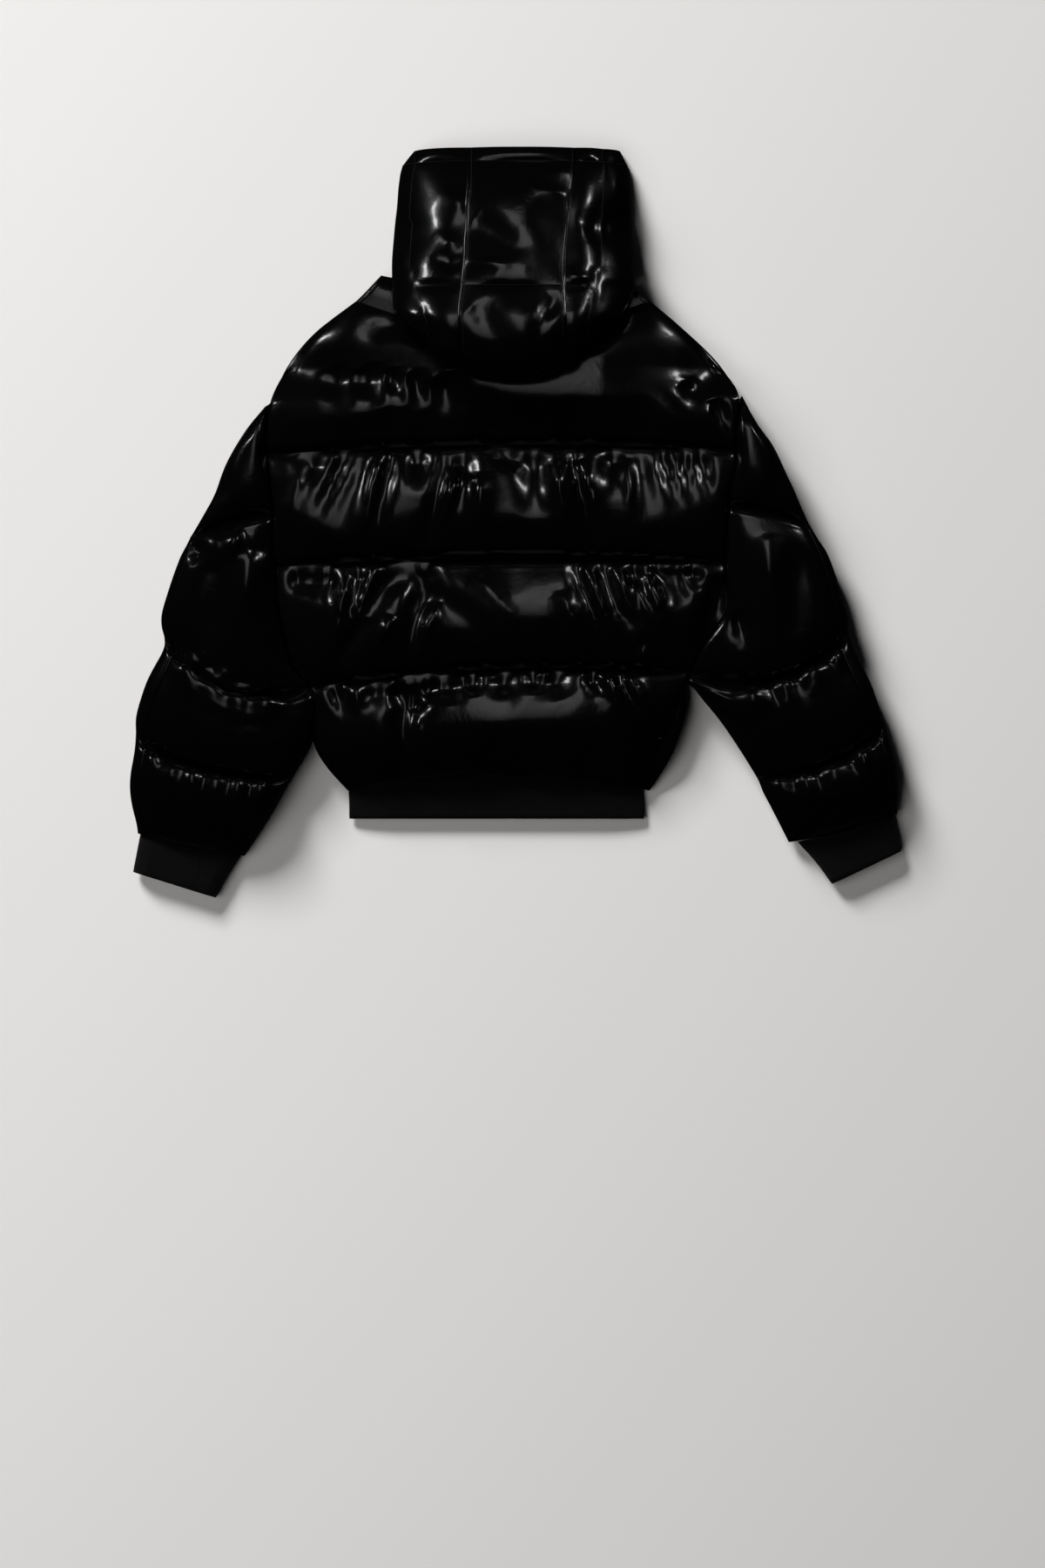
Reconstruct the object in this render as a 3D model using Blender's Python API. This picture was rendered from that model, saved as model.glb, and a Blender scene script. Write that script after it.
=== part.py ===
"""Hooded puffer jacket with knitted hem and cuffs, lying flat with its back up.

Metres, +Z up. In the tables x runs across from the middle of the back and y runs up from the
lower edge of the hem. Every padded piece is one closed wall: a grid of sections, from the
outer cloth to the cloth inside. A section is part of a flattened ring. Its angle is 0 at the
right edge, a quarter turn on top, half a turn at the left edge, and three quarters below.
"""

import math
from collections import namedtuple

import bmesh
import bpy
from mathutils import Vector

# ---- Driving dimensions -------------------------------------------------------------------

SEAM_GAP = 0.0003            # between two pieces that are sewn together
STITCH_DIP = 0.019           # how far a quilt line lies below the puffs beside it
UNDER_DIP = 0.004            # the same on the side that lies on the floor
RESTING_PUFF = 0.75          # puffs fuller than this lie flat on the floor
EDGE_WALL = 0.009            # thickness of the padded wall where it is sewn to the next piece
HALF_SLIT = 0.0015           # half of the flat space between the layers
PUFF_ROUNDNESS = 0.55        # below 1 makes puffs full, with tight valleys
SQUARENESS = 2.5             # superellipse power of the flattened rings
FLAT_UNDERSIDE = 1.25        # over 1 widens the part of the underside that lies flat
ARMHOLE_HOLD = 0.5           # height of an armhole seam, as a share of the puffs beside it
FULL_DIP_CREST = 0.06        # puffs lower than this have a shallower quilt line
EDGE_WALL_SHARE = 0.3        # the wall at an edge takes at most this share of a narrow section
SLIT_SHARE = 0.2             # and the flat space takes at most this share of a low one's height
SEGMENTS_PER_ROW = 2         # mesh rows from one section to the next

BACK_FACES = 14              # mesh faces across each piece
FRONT_FACES = 7
SLEEVE_BACK_FACES, SLEEVE_FRONT_FACES = 7, 8
HOOD_SIDE_FACES, HOOD_CENTER_FACES = 5, 6

SLEEVE_SEAM_ANGLE = math.radians(143)   # lengthwise seam, on top near the outer edge
SLEEVE_SEAM_GAP_ANGLE = 0.012
UNDER_EDGE_ANGLE = 1e-5      # just below the edge, so that an end belongs to the under side

RIB_WALL = 0.0062            # folded rib knit, two layers
RIB_HALF_SLIT = 0.0008
RIB_FACES_AROUND = 20        # also the number for the whole hem, which is open at the zip

HOOD_WALL = 0.019
HOOD_CROWN = 0.006           # how far the middle of a hood panel stands above its seams
HOOD_QUILT_DIP = 0.006
HOOD_GAP_ANGLE = 0.004
HOOD_LENGTH_PER_DEGREE = 0.0012     # length of cloth over the middle for a degree of lean

ZIP_HALF_OPENING = 0.008     # from the middle of the zip to the edge of each front
STRAIGHT_NEAR_ZIP = 0.020    # the fronts' rows are straight this near to the zip
ZIP_TAPE_THICKNESS = 0.0012
ZIP_CHAIN_THICKNESS = 0.0028
ZIP_CHAIN_HALF = 0.0029
ZIP_MIDDLE_X = 0.000
ZIP_ROUTE = ((0.003, 0.0032), (0.040, 0.0032), (0.064, 0.0040), (0.110, 0.0096), (0.640, 0.0096))

SLIDER_Y = 0.622             # middle of the slider, with the zip closed
SLIDER_HALF = (0.0045, 0.0060)
SLIDER_Z = (0.0052, 0.0079)
SLIDER_CORNER = 0.0015
PIN_Z = 0.0034               # axis of the pull tab's pin, under the slider
PIN_RADIUS = 0.0008
EAR_HALF_X = 0.0034
EAR_THICKNESS = 0.0010
EAR_HALF_LENGTH = 0.0014     # also how far an ear reaches below the pin's axis
EAR_ROOT = 0.0006            # how far the ears reach into the slider
PIN_END = 0.0003             # how far inside each ear's face the pin ends
TAB_EYE_RADIUS = 0.0018
TAB_HOLE_RADIUS = 0.0011
TAB_HALF_WIDTH = 0.0019
TAB_BLADE_HALF = 0.0035
TAB_LENGTH = 0.032
TAB_THICKNESS = 0.0014
TAB_NECK_END = 0.0090        # from the pin: the neck runs to here,
TAB_BLADE_START = 0.0080     # and the wider blade begins here
TAB_BLADE_SWELL = 0.0001     # how far the blade stands out from the neck on each face
ROUND_FACES = 16

# ---- Sections of the body -----------------------------------------------------------------
# left and right: (x, y) of the two ends. bow: how far the middle lies above the ends, in y.
# crest: height of the puffs. mid: height of the plane between the back and the fronts.
# hold_left, hold_right: 0 at a free rounded edge, ARMHOLE_HOLD where a sleeve is sewn on.
# quilted: sewn through.

Section = namedtuple("Section", "name left right bow crest mid hold_left hold_right quilted")
H = ARMHOLE_HOLD

BODY = [
    Section("hem",       (-0.188, 0.036), (0.179, 0.036), 0.018, 0.040, 0.0080, 0, 0, True),
    Section("above_hem", (-0.214, 0.066), (0.195, 0.078), 0.016, 0.056, 0.0240, 0, 0, False),
    Section("waist",     (-0.230, 0.097), (0.219, 0.129), 0.014, 0.066, 0.0300, 0, 0, False),
    Section("quilt_3",   (-0.233, 0.163), (0.236, 0.181), 0.015, 0.068, 0.0300, H, H, True),
    Section("underarm",  (-0.252, 0.189), (0.249, 0.210), 0.014, 0.070, 0.0300, H, H, False),
    Section("chest_1",   (-0.264, 0.229), (0.280, 0.256), 0.012, 0.072, 0.0300, H, H, False),
    Section("chest_2",   (-0.273, 0.271), (0.282, 0.287), 0.010, 0.072, 0.0300, H, H, False),
    Section("quilt_2",   (-0.277, 0.312), (0.281, 0.318), 0.010, 0.072, 0.0300, H, H, True),
    Section("chest_3",   (-0.278, 0.379), (0.283, 0.390), 0.010, 0.073, 0.0300, H, H, False),
    Section("chest_4",   (-0.280, 0.406), (0.287, 0.414), 0.010, 0.073, 0.0300, H, H, False),
    Section("quilt_1",   (-0.286, 0.451), (0.294, 0.457), 0.010, 0.071, 0.0300, H, H, True),
    Section("yoke_1",    (-0.285, 0.487), (0.293, 0.486), 0.008, 0.068, 0.0295, H, H, False),
    Section("yoke_2",    (-0.282, 0.517), (0.298, 0.521), 0.003, 0.066, 0.0290, H, H, False),
    Section("yoke_3",    (-0.262, 0.562), (0.275, 0.563), -0.006, 0.060, 0.0270, 0, 0, False),
    Section("shoulder",  (-0.222, 0.610), (0.225, 0.613), -0.022, 0.052, 0.0240, 0, 0, False),
    Section("back_neck", (-0.177, 0.644), (0.188, 0.644), -0.038, 0.040, 0.0200, 0, 0, True),
]

# The fronts follow the same sections, wider at the lower right, and rise higher at the neck.
FRONT_WIDER_RIGHT = {"hem": (0.188, 0.036), "above_hem": (0.214, 0.078), "waist": (0.231, 0.129)}
FRONT_NECK = Section("front_neck", (-0.146, 0.676), (0.172, 0.656), -0.010, 0.030, 0.0150, 0, 0, True)

# ---- Sections of the sleeves --------------------------------------------------------------
# inner: the name of the body section whose end the sleeve is sewn to, or (x, y) below the
# armpit. outer: (x, y) on the outer edge. bow: towards the shoulder.

SleeveRow = namedtuple("SleeveRow", "inner outer bow crest mid quilted")

SLEEVE_LEFT = [
    SleeveRow("yoke_2",   (-0.290, 0.512), 0.000, 0.040, 0.0270, True),
    SleeveRow("yoke_1",   (-0.309, 0.487), 0.000, 0.056, 0.0285, False),
    SleeveRow("quilt_1",  (-0.335, 0.444), 0.000, 0.062, 0.0300, False),
    SleeveRow("chest_4",  (-0.356, 0.396), 0.002, 0.066, 0.0300, False),
    SleeveRow("chest_3",  (-0.382, 0.350), 0.004, 0.066, 0.0300, True),
    SleeveRow("quilt_2",  (-0.398, 0.314), -0.006, 0.068, 0.0300, False),
    SleeveRow("chest_2",  (-0.410, 0.279), -0.014, 0.070, 0.0300, False),
    SleeveRow("chest_1",  (-0.417, 0.254), -0.022, 0.070, 0.0300, False),
    SleeveRow("underarm", (-0.417, 0.238), -0.030, 0.068, 0.0300, False),
    SleeveRow("quilt_3",  (-0.414, 0.222), -0.034, 0.066, 0.0300, True),
    SleeveRow("waist",    (-0.440, 0.160), -0.026, 0.068, 0.0300, False),
    SleeveRow((-0.240, 0.077), (-0.449, 0.128), -0.020, 0.066, 0.0300, False),
    SleeveRow((-0.256, 0.051), (-0.450, 0.102), -0.016, 0.064, 0.0290, True),
    SleeveRow((-0.284, 0.002), (-0.457, 0.040), -0.010, 0.062, 0.0270, False),
    SleeveRow((-0.316, -0.045), (-0.449, -0.017), -0.004, 0.036, 0.0130, True),
]

SLEEVE_RIGHT = [
    SleeveRow("yoke_2",   (0.302, 0.526), 0.000, 0.040, 0.0270, True),
    SleeveRow("yoke_1",   (0.319, 0.495), 0.000, 0.056, 0.0285, False),
    SleeveRow("quilt_1",  (0.339, 0.465), 0.000, 0.062, 0.0300, False),
    SleeveRow("chest_4",  (0.364, 0.412), 0.002, 0.066, 0.0300, False),
    SleeveRow("chest_3",  (0.386, 0.365), 0.004, 0.066, 0.0300, True),
    SleeveRow("quilt_2",  (0.410, 0.322), -0.006, 0.068, 0.0300, False),
    SleeveRow("chest_2",  (0.423, 0.284), -0.014, 0.070, 0.0300, False),
    SleeveRow("chest_1",  (0.431, 0.257), -0.022, 0.070, 0.0300, False),
    SleeveRow("underarm", (0.434, 0.244), -0.030, 0.068, 0.0300, False),
    SleeveRow("quilt_3",  (0.434, 0.231), -0.034, 0.066, 0.0300, True),
    SleeveRow((0.246, 0.158), (0.461, 0.170), -0.026, 0.068, 0.0300, False),
    SleeveRow((0.278, 0.118), (0.472, 0.138), -0.022, 0.066, 0.0300, False),
    SleeveRow((0.320, 0.053), (0.480, 0.116), -0.018, 0.064, 0.0290, True),
    SleeveRow((0.341, 0.010), (0.495, 0.060), -0.010, 0.062, 0.0270, False),
    SleeveRow((0.361, -0.028), (0.496, 0.008), -0.004, 0.036, 0.0130, True),
]

# ---- Knitted ribs -------------------------------------------------------------------------
# From the padded cloth to the free edge: left and right (x, y), bow, and half the thickness.

RibRow = namedtuple("RibRow", "left right bow half")

RIBS = {
    "hem_rib": [
        RibRow((-0.187, 0.0352), (0.178, 0.0352), 0.018, 0.0075),
        RibRow((-0.186, 0.020), (0.180, 0.020), 0.008, 0.0075),
        RibRow((-0.186, 0.001), (0.181, 0.001), 0.000, 0.0070),
    ],
    "cuff_left": [
        RibRow((-0.446, -0.0188), (-0.322, -0.0463), -0.004, 0.0115),
        RibRow((-0.450, -0.040), (-0.337, -0.070), -0.002, 0.0115),
        RibRow((-0.455, -0.065), (-0.352, -0.097), 0.000, 0.0110),
    ],
    "cuff_right": [
        RibRow((0.374, -0.0297), (0.491, 0.0052), -0.004, 0.0115),
        RibRow((0.396, -0.054), (0.496, -0.018), -0.002, 0.0115),
        RibRow((0.415, -0.080), (0.501, -0.039), 0.000, 0.0110),
    ],
}

# ---- Sections of the hood -----------------------------------------------------------------
# Each section is an arch that stands on the line (foot_y, foot_z) and leans back by lean
# degrees. left, seam_left, seam_right, right: x of its feet and of the two seams.

Arch = namedtuple("Arch", "foot_y foot_z lean height left seam_left seam_right right quilted")

HOOD = [
    Arch(0.622, 0.0735, 88, 0.080, -0.070, -0.042, 0.084, 0.108, True),
    Arch(0.622, 0.0735, 66, 0.081, -0.090, -0.044, 0.084, 0.118, False),
    Arch(0.622, 0.0735, 33, 0.070, -0.112, -0.046, 0.083, 0.134, False),
    Arch(0.624, 0.0735, 0, 0.055, -0.128, -0.047, 0.081, 0.154, False),
    Arch(0.653, 0.0520, 0, 0.066, -0.131, -0.044, 0.080, 0.167, True),
    Arch(0.687, 0.0320, 0, 0.073, -0.132, -0.041, 0.081, 0.168, False),
    Arch(0.725, 0.0000, 0, 0.092, -0.130, -0.039, 0.084, 0.167, False),
    Arch(0.762, 0.0000, 0, 0.080, -0.127, -0.038, 0.088, 0.166, False),
    Arch(0.795, 0.0000, 0, 0.066, -0.124, -0.037, 0.093, 0.164, False),
    Arch(0.814, 0.0000, 0, 0.055, -0.120, -0.037, 0.095, 0.161, True),
    Arch(0.832, 0.0000, 0, 0.042, -0.106, -0.037, 0.095, 0.152, False),
]

# ---- Materials ----------------------------------------------------------------------------

CLOTH = ("coated_nylon", (0.010, 0.010, 0.011), 0.28, 0.0)
RIB = ("rib_knit", (0.014, 0.013, 0.014), 0.90, 0.0)
TAPE = ("zip_tape_weave", (0.012, 0.012, 0.013), 0.85, 0.0)
TEETH = ("zip_teeth", (0.015, 0.015, 0.016), 0.40, 0.0)
METAL = ("zip_metal", (0.055, 0.055, 0.060), 0.35, 0.9)


def get_material(recipe):
    """A Principled material with the recipe's name, colour, roughness and metallic value."""
    name, colour, roughness, metallic = recipe
    material = bpy.data.materials.get(name)
    if material is None:
        material = bpy.data.materials.new(name)
        material.use_nodes = True
        shader = material.node_tree.nodes["Principled BSDF"]
        shader.inputs["Base Color"].default_value = (*colour, 1.0)
        shader.inputs["Roughness"].default_value = roughness
        shader.inputs["Metallic"].default_value = metallic
    return material


def add_object(name, bm, recipe):
    """Finish a bmesh as a smooth-shaded object that hangs from the jacket's empty."""
    bmesh.ops.triangulate(bm, faces=bm.faces[:])
    bmesh.ops.recalc_face_normals(bm, faces=bm.faces[:])
    mesh = bpy.data.meshes.new(name)
    bm.to_mesh(mesh)
    bm.free()
    mesh.shade_smooth()
    mesh.materials.append(get_material(recipe))
    obj = bpy.data.objects.new(name, mesh)
    bpy.context.scene.collection.objects.link(obj)
    obj.parent = bpy.data.objects["jacket"]
    return obj


# ---- From table rows to dense sections ----------------------------------------------------

def mix(a, b, t):
    """Between two numbers, or between two tuples of numbers."""
    if isinstance(a, tuple):
        return tuple(mix(x, y, t) for x, y in zip(a, b))
    return a + (b - a) * t


def add_puffs(sections, plan_length):
    """Give each section its puff: 0 on a quilt line, up to 1 halfway to the next one."""
    stations = [0.0]
    for before, after in zip(sections, sections[1:]):
        stations.append(stations[-1] + plan_length(before, after))
    lines = [station for station, section in zip(stations, sections) if section["quilted"]]
    for station, section in zip(stations, sections):
        below = max((line for line in lines if line <= station + 1e-9), default=None)
        above = min((line for line in lines if line >= station - 1e-9), default=None)
        if below is None or above is None:
            section["puff"] = 1.0
        elif above - below < 1e-9:
            section["puff"] = 0.0
        else:
            share = (station - below) / (above - below)
            section["puff"] = math.sin(math.pi * share) ** PUFF_ROUNDNESS
    return sections


def densify(rows, steps=SEGMENTS_PER_ROW):
    """Sections as dictionaries, with steps mesh rows from each table row to the next."""
    sections = []
    for row, following in zip(rows, rows[1:]):
        for step in range(steps):
            t = step / steps
            section = {key: mix(row[key], following[key], t) for key in row if key != "quilted"}
            section["quilted"] = row["quilted"] and step == 0
            sections.append(section)
    sections.append(dict(rows[-1]))
    return sections


def middle_distance(before, after):
    """How far apart two flat sections are in the middle."""
    return math.hypot(*(
        (after["left"][i] + after["right"][i] - before["left"][i] - before["right"][i]) / 2
        for i in range(2)))


def body_rows():
    """The back's sections."""
    keys = ("left", "right", "bow", "crest", "mid", "hold_left", "hold_right", "quilted")
    return [{key: getattr(row, key) for key in keys} for row in BODY]


def front_rows():
    """The fronts' sections: the back's, wider at the lower right, and one more at the neck."""
    rows = body_rows()
    for row, section in zip(rows, BODY):
        row["right"] = FRONT_WIDER_RIGHT.get(section.name, row["right"])
        row["quilted"] = row["quilted"] and section.name != "back_neck"
    neck = {key: getattr(FRONT_NECK, key) for key in rows[0]}
    return rows + [neck]


def sleeve_rows(table, on_left):
    """A sleeve's sections, sewn to the body down to the armpit and free below it."""
    seam_points = {row.name: (row.left if on_left else row.right) for row in BODY}
    offset = -SEAM_GAP if on_left else SEAM_GAP
    rows = []
    for row in table:
        sewn = isinstance(row.inner, str)
        inner = seam_points[row.inner] if sewn else row.inner
        if sewn:
            inner = (inner[0] + offset, inner[1])
        hold = ARMHOLE_HOLD if sewn and row.inner != "waist" else 0
        rows.append({
            "left": row.outer if on_left else inner,
            "right": inner if on_left else row.outer,
            "bow": row.bow, "crest": row.crest, "mid": row.mid,
            "hold_left": 0 if on_left else hold,
            "hold_right": hold if on_left else 0,
            "quilted": row.quilted})
    return rows


# ---- Points on a flattened ring -----------------------------------------------------------

def superellipse(angle):
    """Across (-1 to 1) and rise (0 to 1) of a flattened ring at an angle."""
    power = 2 / SQUARENESS
    c, s = math.cos(angle), math.sin(angle)
    if abs(s) < 1e-9:
        s = 0.0
    return math.copysign(abs(c) ** power, c), abs(s) ** power


def ring_point(section, angle, inside):
    """A point of the padded wall, on its outer cloth or on its inner one."""
    across, rise = superellipse(angle)
    left, right = Vector(section["left"]), Vector(section["right"])
    width = (right - left).length
    hold = mix(section["hold_left"], section["hold_right"], (1 + across) / 2)
    puff, mid = section["puff"], section["mid"]
    on_top = math.sin(angle) >= 0
    if on_top:
        crest = section["crest"] - STITCH_DIP * (1 - puff) * min(1.0, section["crest"] / FULL_DIP_CREST)
        height = crest - mid
        lift = height * (hold + (1 - hold) * rise)
        held_lift = height * hold
    else:
        height = mid - SEAM_GAP / 2
        lift = height * min(1.0, FLAT_UNDERSIDE * (hold + (1 - hold) * rise))
        lift -= UNDER_DIP * max(0.0, 1 - puff / RESTING_PUFF) * rise
        held_lift = height * min(1.0, FLAT_UNDERSIDE * hold)
    if inside:
        edge_wall = min(EDGE_WALL, EDGE_WALL_SHARE * width) * (1 - hold / ARMHOLE_HOLD)
        across *= 1 - 2 * edge_wall / width
        slit = min(HALF_SLIT, SLIT_SHARE * height)
        lift = slit + max(0.0, held_lift - EDGE_WALL) * (1 - rise)
    side = 1 if on_top else -1
    plan = left.lerp(right, (1 + across) / 2)
    along = Vector((-(right - left).y, (right - left).x)).normalized()
    plan += along * section["bow"] * (1 - across * across)
    return Vector((plan.x, plan.y, mid + side * (SEAM_GAP / 2 + max(0.0, lift))))


def arch_point(section, angle, inside, crown):
    """A point of the hood's wall. crown swells the outer cloth between two seams."""
    across, rise = superellipse(angle)
    centre = (section["left"] + section["right"]) / 2
    half = (section["right"] - section["left"]) / 2
    grow = -HOOD_WALL if inside else crown - HOOD_QUILT_DIP * (1 - section["puff"])
    lean = math.radians(section["lean"])
    up = (section["height"] + grow) * rise
    edge = grow if inside else 0.0
    return Vector((centre + (half + edge) * across,
                   section["foot_y"] - up * math.sin(lean),
                   section["foot_z"] + up * math.cos(lean)))


def seam_angle(section, x):
    """The angle at which an arch passes over x."""
    centre = (section["left"] + section["right"]) / 2
    half = (section["right"] - section["left"]) / 2
    across = max(-1.0, min(1.0, (x - centre) / half))
    return math.acos(math.copysign(abs(across) ** (SQUARENESS / 2), across))


# ---- Builders -----------------------------------------------------------------------------

def padded_panel(name, faces_across, sections, point, recipe=CLOTH):
    """A closed padded wall from a grid: its outer cloth, and a copy of it for the inner.

    point(section, share, inside) places a point, with share running from 0 to 1 across.
    """
    bm = bmesh.new()
    rows = len(sections) - 1
    bmesh.ops.create_grid(bm, x_segments=faces_across, y_segments=rows, size=0.5)
    copy = bmesh.ops.extrude_face_region(bm, geom=bm.faces[:], use_keep_orig=True)
    inner = {item for item in copy["geom"] if isinstance(item, bmesh.types.BMVert)}
    for vert in bm.verts:
        share, station = vert.co.x + 0.5, vert.co.y + 0.5
        section = sections[round(station * rows)]
        vert.co = point(section, share, vert in inner)
    return add_object(name, bm, recipe)


def ring_panel(name, faces_across, sections, start, end):
    """A padded wall over part of a flattened ring, from one angle to another."""
    return padded_panel(
        name, faces_across, sections,
        lambda section, share, inside: ring_point(section, mix(start, end, share), inside))


def rib_point(row, angle, inside):
    """A point of a folded rib, on its outer face or its inner one."""
    across, rise = superellipse(angle)
    left, right = Vector(row.left), Vector(row.right)
    width = (right - left).length
    if inside:
        across *= 1 - 2 * RIB_WALL / width
    plan = left.lerp(right, (1 + across) / 2)
    along = Vector((-(right - left).y, (right - left).x)).normalized()
    plan += along * row.bow * (1 - across * across)
    lift = RIB_HALF_SLIT * rise if inside else row.half * min(1.0, FLAT_UNDERSIDE * rise)
    side = 1 if math.sin(angle) >= 0 else -1
    return Vector((plan.x, plan.y, row.half + side * lift))


def cuff_tube(name, rows):
    """A flattened tube of folded rib knit, closed round both of its ends."""
    bm = bmesh.new()
    loops = rows + rows[::-1] + rows[:1]
    bmesh.ops.create_grid(bm, x_segments=RIB_FACES_AROUND, y_segments=len(loops) - 1, size=0.5)
    for vert in bm.verts:
        angle = ((vert.co.x + 0.5) * math.tau) % math.tau
        number = round((vert.co.y + 0.5) * (len(loops) - 1))
        vert.co = rib_point(loops[number], angle, len(rows) <= number < 2 * len(rows))
    bmesh.ops.remove_doubles(bm, verts=bm.verts[:], dist=1e-6)
    return add_object(name, bm, RIB)


def zip_turn(left, right, side):
    """How far before or after the right edge the zip's opening is, as an angle."""
    edge = ZIP_MIDDLE_X + side * ZIP_HALF_OPENING
    across = 2 * (edge - left) / (right - left) - 1
    return math.acos(math.copysign(abs(across) ** (SQUARENESS / 2), across))


def hem_band(name, rows):
    """The hem's folded rib, from one side of the zip over the back to the other side."""
    def point(row, share, inside):
        start = -zip_turn(row.left[0], row.right[0], 1)
        end = math.tau - zip_turn(row.left[0], row.right[0], -1)
        return rib_point(row, mix(start, end, share), inside)
    padded_panel(name, RIB_FACES_AROUND, rows, point, RIB)


def box(bm, low, high):
    """A box between two corners."""
    made = bmesh.ops.create_cube(bm, size=1.0)
    for vert in made["verts"]:
        vert.co = Vector(tuple(mix(low[i], high[i], vert.co[i] + 0.5) for i in range(3)))
    return made["verts"]


def x_cylinder(bm, radius, half_length, y, z):
    """A round bar along x."""
    made = bmesh.ops.create_cone(bm, cap_ends=True, segments=ROUND_FACES, radius1=radius,
                                 radius2=radius, depth=2 * half_length)
    for vert in made["verts"]:
        vert.co = Vector((ZIP_MIDDLE_X + vert.co.z, y + vert.co.x, z + vert.co.y))


def boolean(obj, operation, build):
    """Add a shape to an object, or cut it out. build(bm) makes the shape."""
    bm = bmesh.new()
    build(bm)
    bmesh.ops.recalc_face_normals(bm, faces=bm.faces[:])
    mesh = bpy.data.meshes.new("tool")
    bm.to_mesh(mesh)
    bm.free()
    tool = bpy.data.objects.new(f"{obj.name}_tool_{len(obj.modifiers)}", mesh)
    bpy.context.scene.collection.objects.link(tool)
    tool.parent = obj.parent
    tool.hide_render = True
    tool.display_type = "WIRE"
    modifier = obj.modifiers.new("boolean", "BOOLEAN")
    modifier.operation = operation
    modifier.object = tool


# ---- The pieces ---------------------------------------------------------------------------

def make_body():
    """The back, and the two fronts that it lies on, open at the zip."""
    back = add_puffs(densify(body_rows()), middle_distance)
    ring_panel("back", BACK_FACES, back, 0.0, math.pi)
    fronts = add_puffs(densify(front_rows()), middle_distance)

    def zip_angle(section, side):
        return math.tau - zip_turn(section["left"][0], section["right"][0], side)

    left_edge, right_edge = math.pi + UNDER_EDGE_ANGLE, math.tau - UNDER_EDGE_ANGLE
    padded_panel("front_left", FRONT_FACES, fronts, lambda section, share, inside: front_point(
        section, mix(left_edge, zip_angle(section, -1), share), inside))
    padded_panel("front_right", FRONT_FACES, fronts, lambda section, share, inside: front_point(
        section, mix(zip_angle(section, 1), right_edge, share), inside))


def front_point(section, angle, inside):
    """A point of a front. At the zip the wall ends in a straight edge."""
    point = ring_point(section, angle, inside)
    across, _ = superellipse(angle)
    if abs(point.x - ZIP_MIDDLE_X) < STRAIGHT_NEAR_ZIP:
        left, right = section["left"][0], section["right"][0]
        point.x = mix(left, right, (1 + across) / 2)
    return point


def make_sleeves():
    """Each sleeve in two padded pieces. The under piece wraps round the outer edge."""
    seam, gap = SLEEVE_SEAM_ANGLE, SLEEVE_SEAM_GAP_ANGLE
    left = add_puffs(densify(sleeve_rows(SLEEVE_LEFT, True)), middle_distance)
    ring_panel("sleeve_left_back", SLEEVE_BACK_FACES, left, 0.0, seam)
    ring_panel("sleeve_left_front", SLEEVE_FRONT_FACES, left, seam + gap,
               math.tau - UNDER_EDGE_ANGLE)
    right = add_puffs(densify(sleeve_rows(SLEEVE_RIGHT, False)), middle_distance)
    ring_panel("sleeve_right_back", SLEEVE_BACK_FACES, right, math.pi - seam, math.pi)
    ring_panel("sleeve_right_front", SLEEVE_FRONT_FACES, right, math.pi + UNDER_EDGE_ANGLE,
               math.tau + math.pi - seam - gap)


def make_hood():
    """Three panels, side by side along the arches."""
    rows = [arch._asdict() for arch in HOOD]
    sections = add_puffs(
        densify(rows),
        lambda before, after: math.hypot(after["foot_y"] - before["foot_y"],
                                         (after["lean"] - before["lean"]) * HOOD_LENGTH_PER_DEGREE))

    def panel(name, faces, start, end):
        def point(section, share, inside):
            crown = HOOD_CROWN * math.sin(math.pi * share) ** PUFF_ROUNDNESS
            return arch_point(section, mix(start(section), end(section), share), inside, crown)
        padded_panel(name, faces, sections, point)

    half_gap = HOOD_GAP_ANGLE / 2
    panel("hood_side_right", HOOD_SIDE_FACES, lambda s: 0.0,
          lambda s: seam_angle(s, s["seam_right"]) - half_gap)
    panel("hood_center", HOOD_CENTER_FACES, lambda s: seam_angle(s, s["seam_right"]) + half_gap,
          lambda s: seam_angle(s, s["seam_left"]) - half_gap)
    panel("hood_side_left", HOOD_SIDE_FACES, lambda s: seam_angle(s, s["seam_left"]) + half_gap,
          lambda s: math.pi)


def zip_strip(name, ends, thickness, recipe):
    """A flat strip along the zip's route, from one x to another."""
    def point(station, share, inside):
        y, z = station
        return Vector((ZIP_MIDDLE_X + mix(ends[0], ends[1], share), y,
                       z + (thickness if inside else -thickness) / 2))
    padded_panel(name, 1, ZIP_ROUTE, point, recipe)


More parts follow.
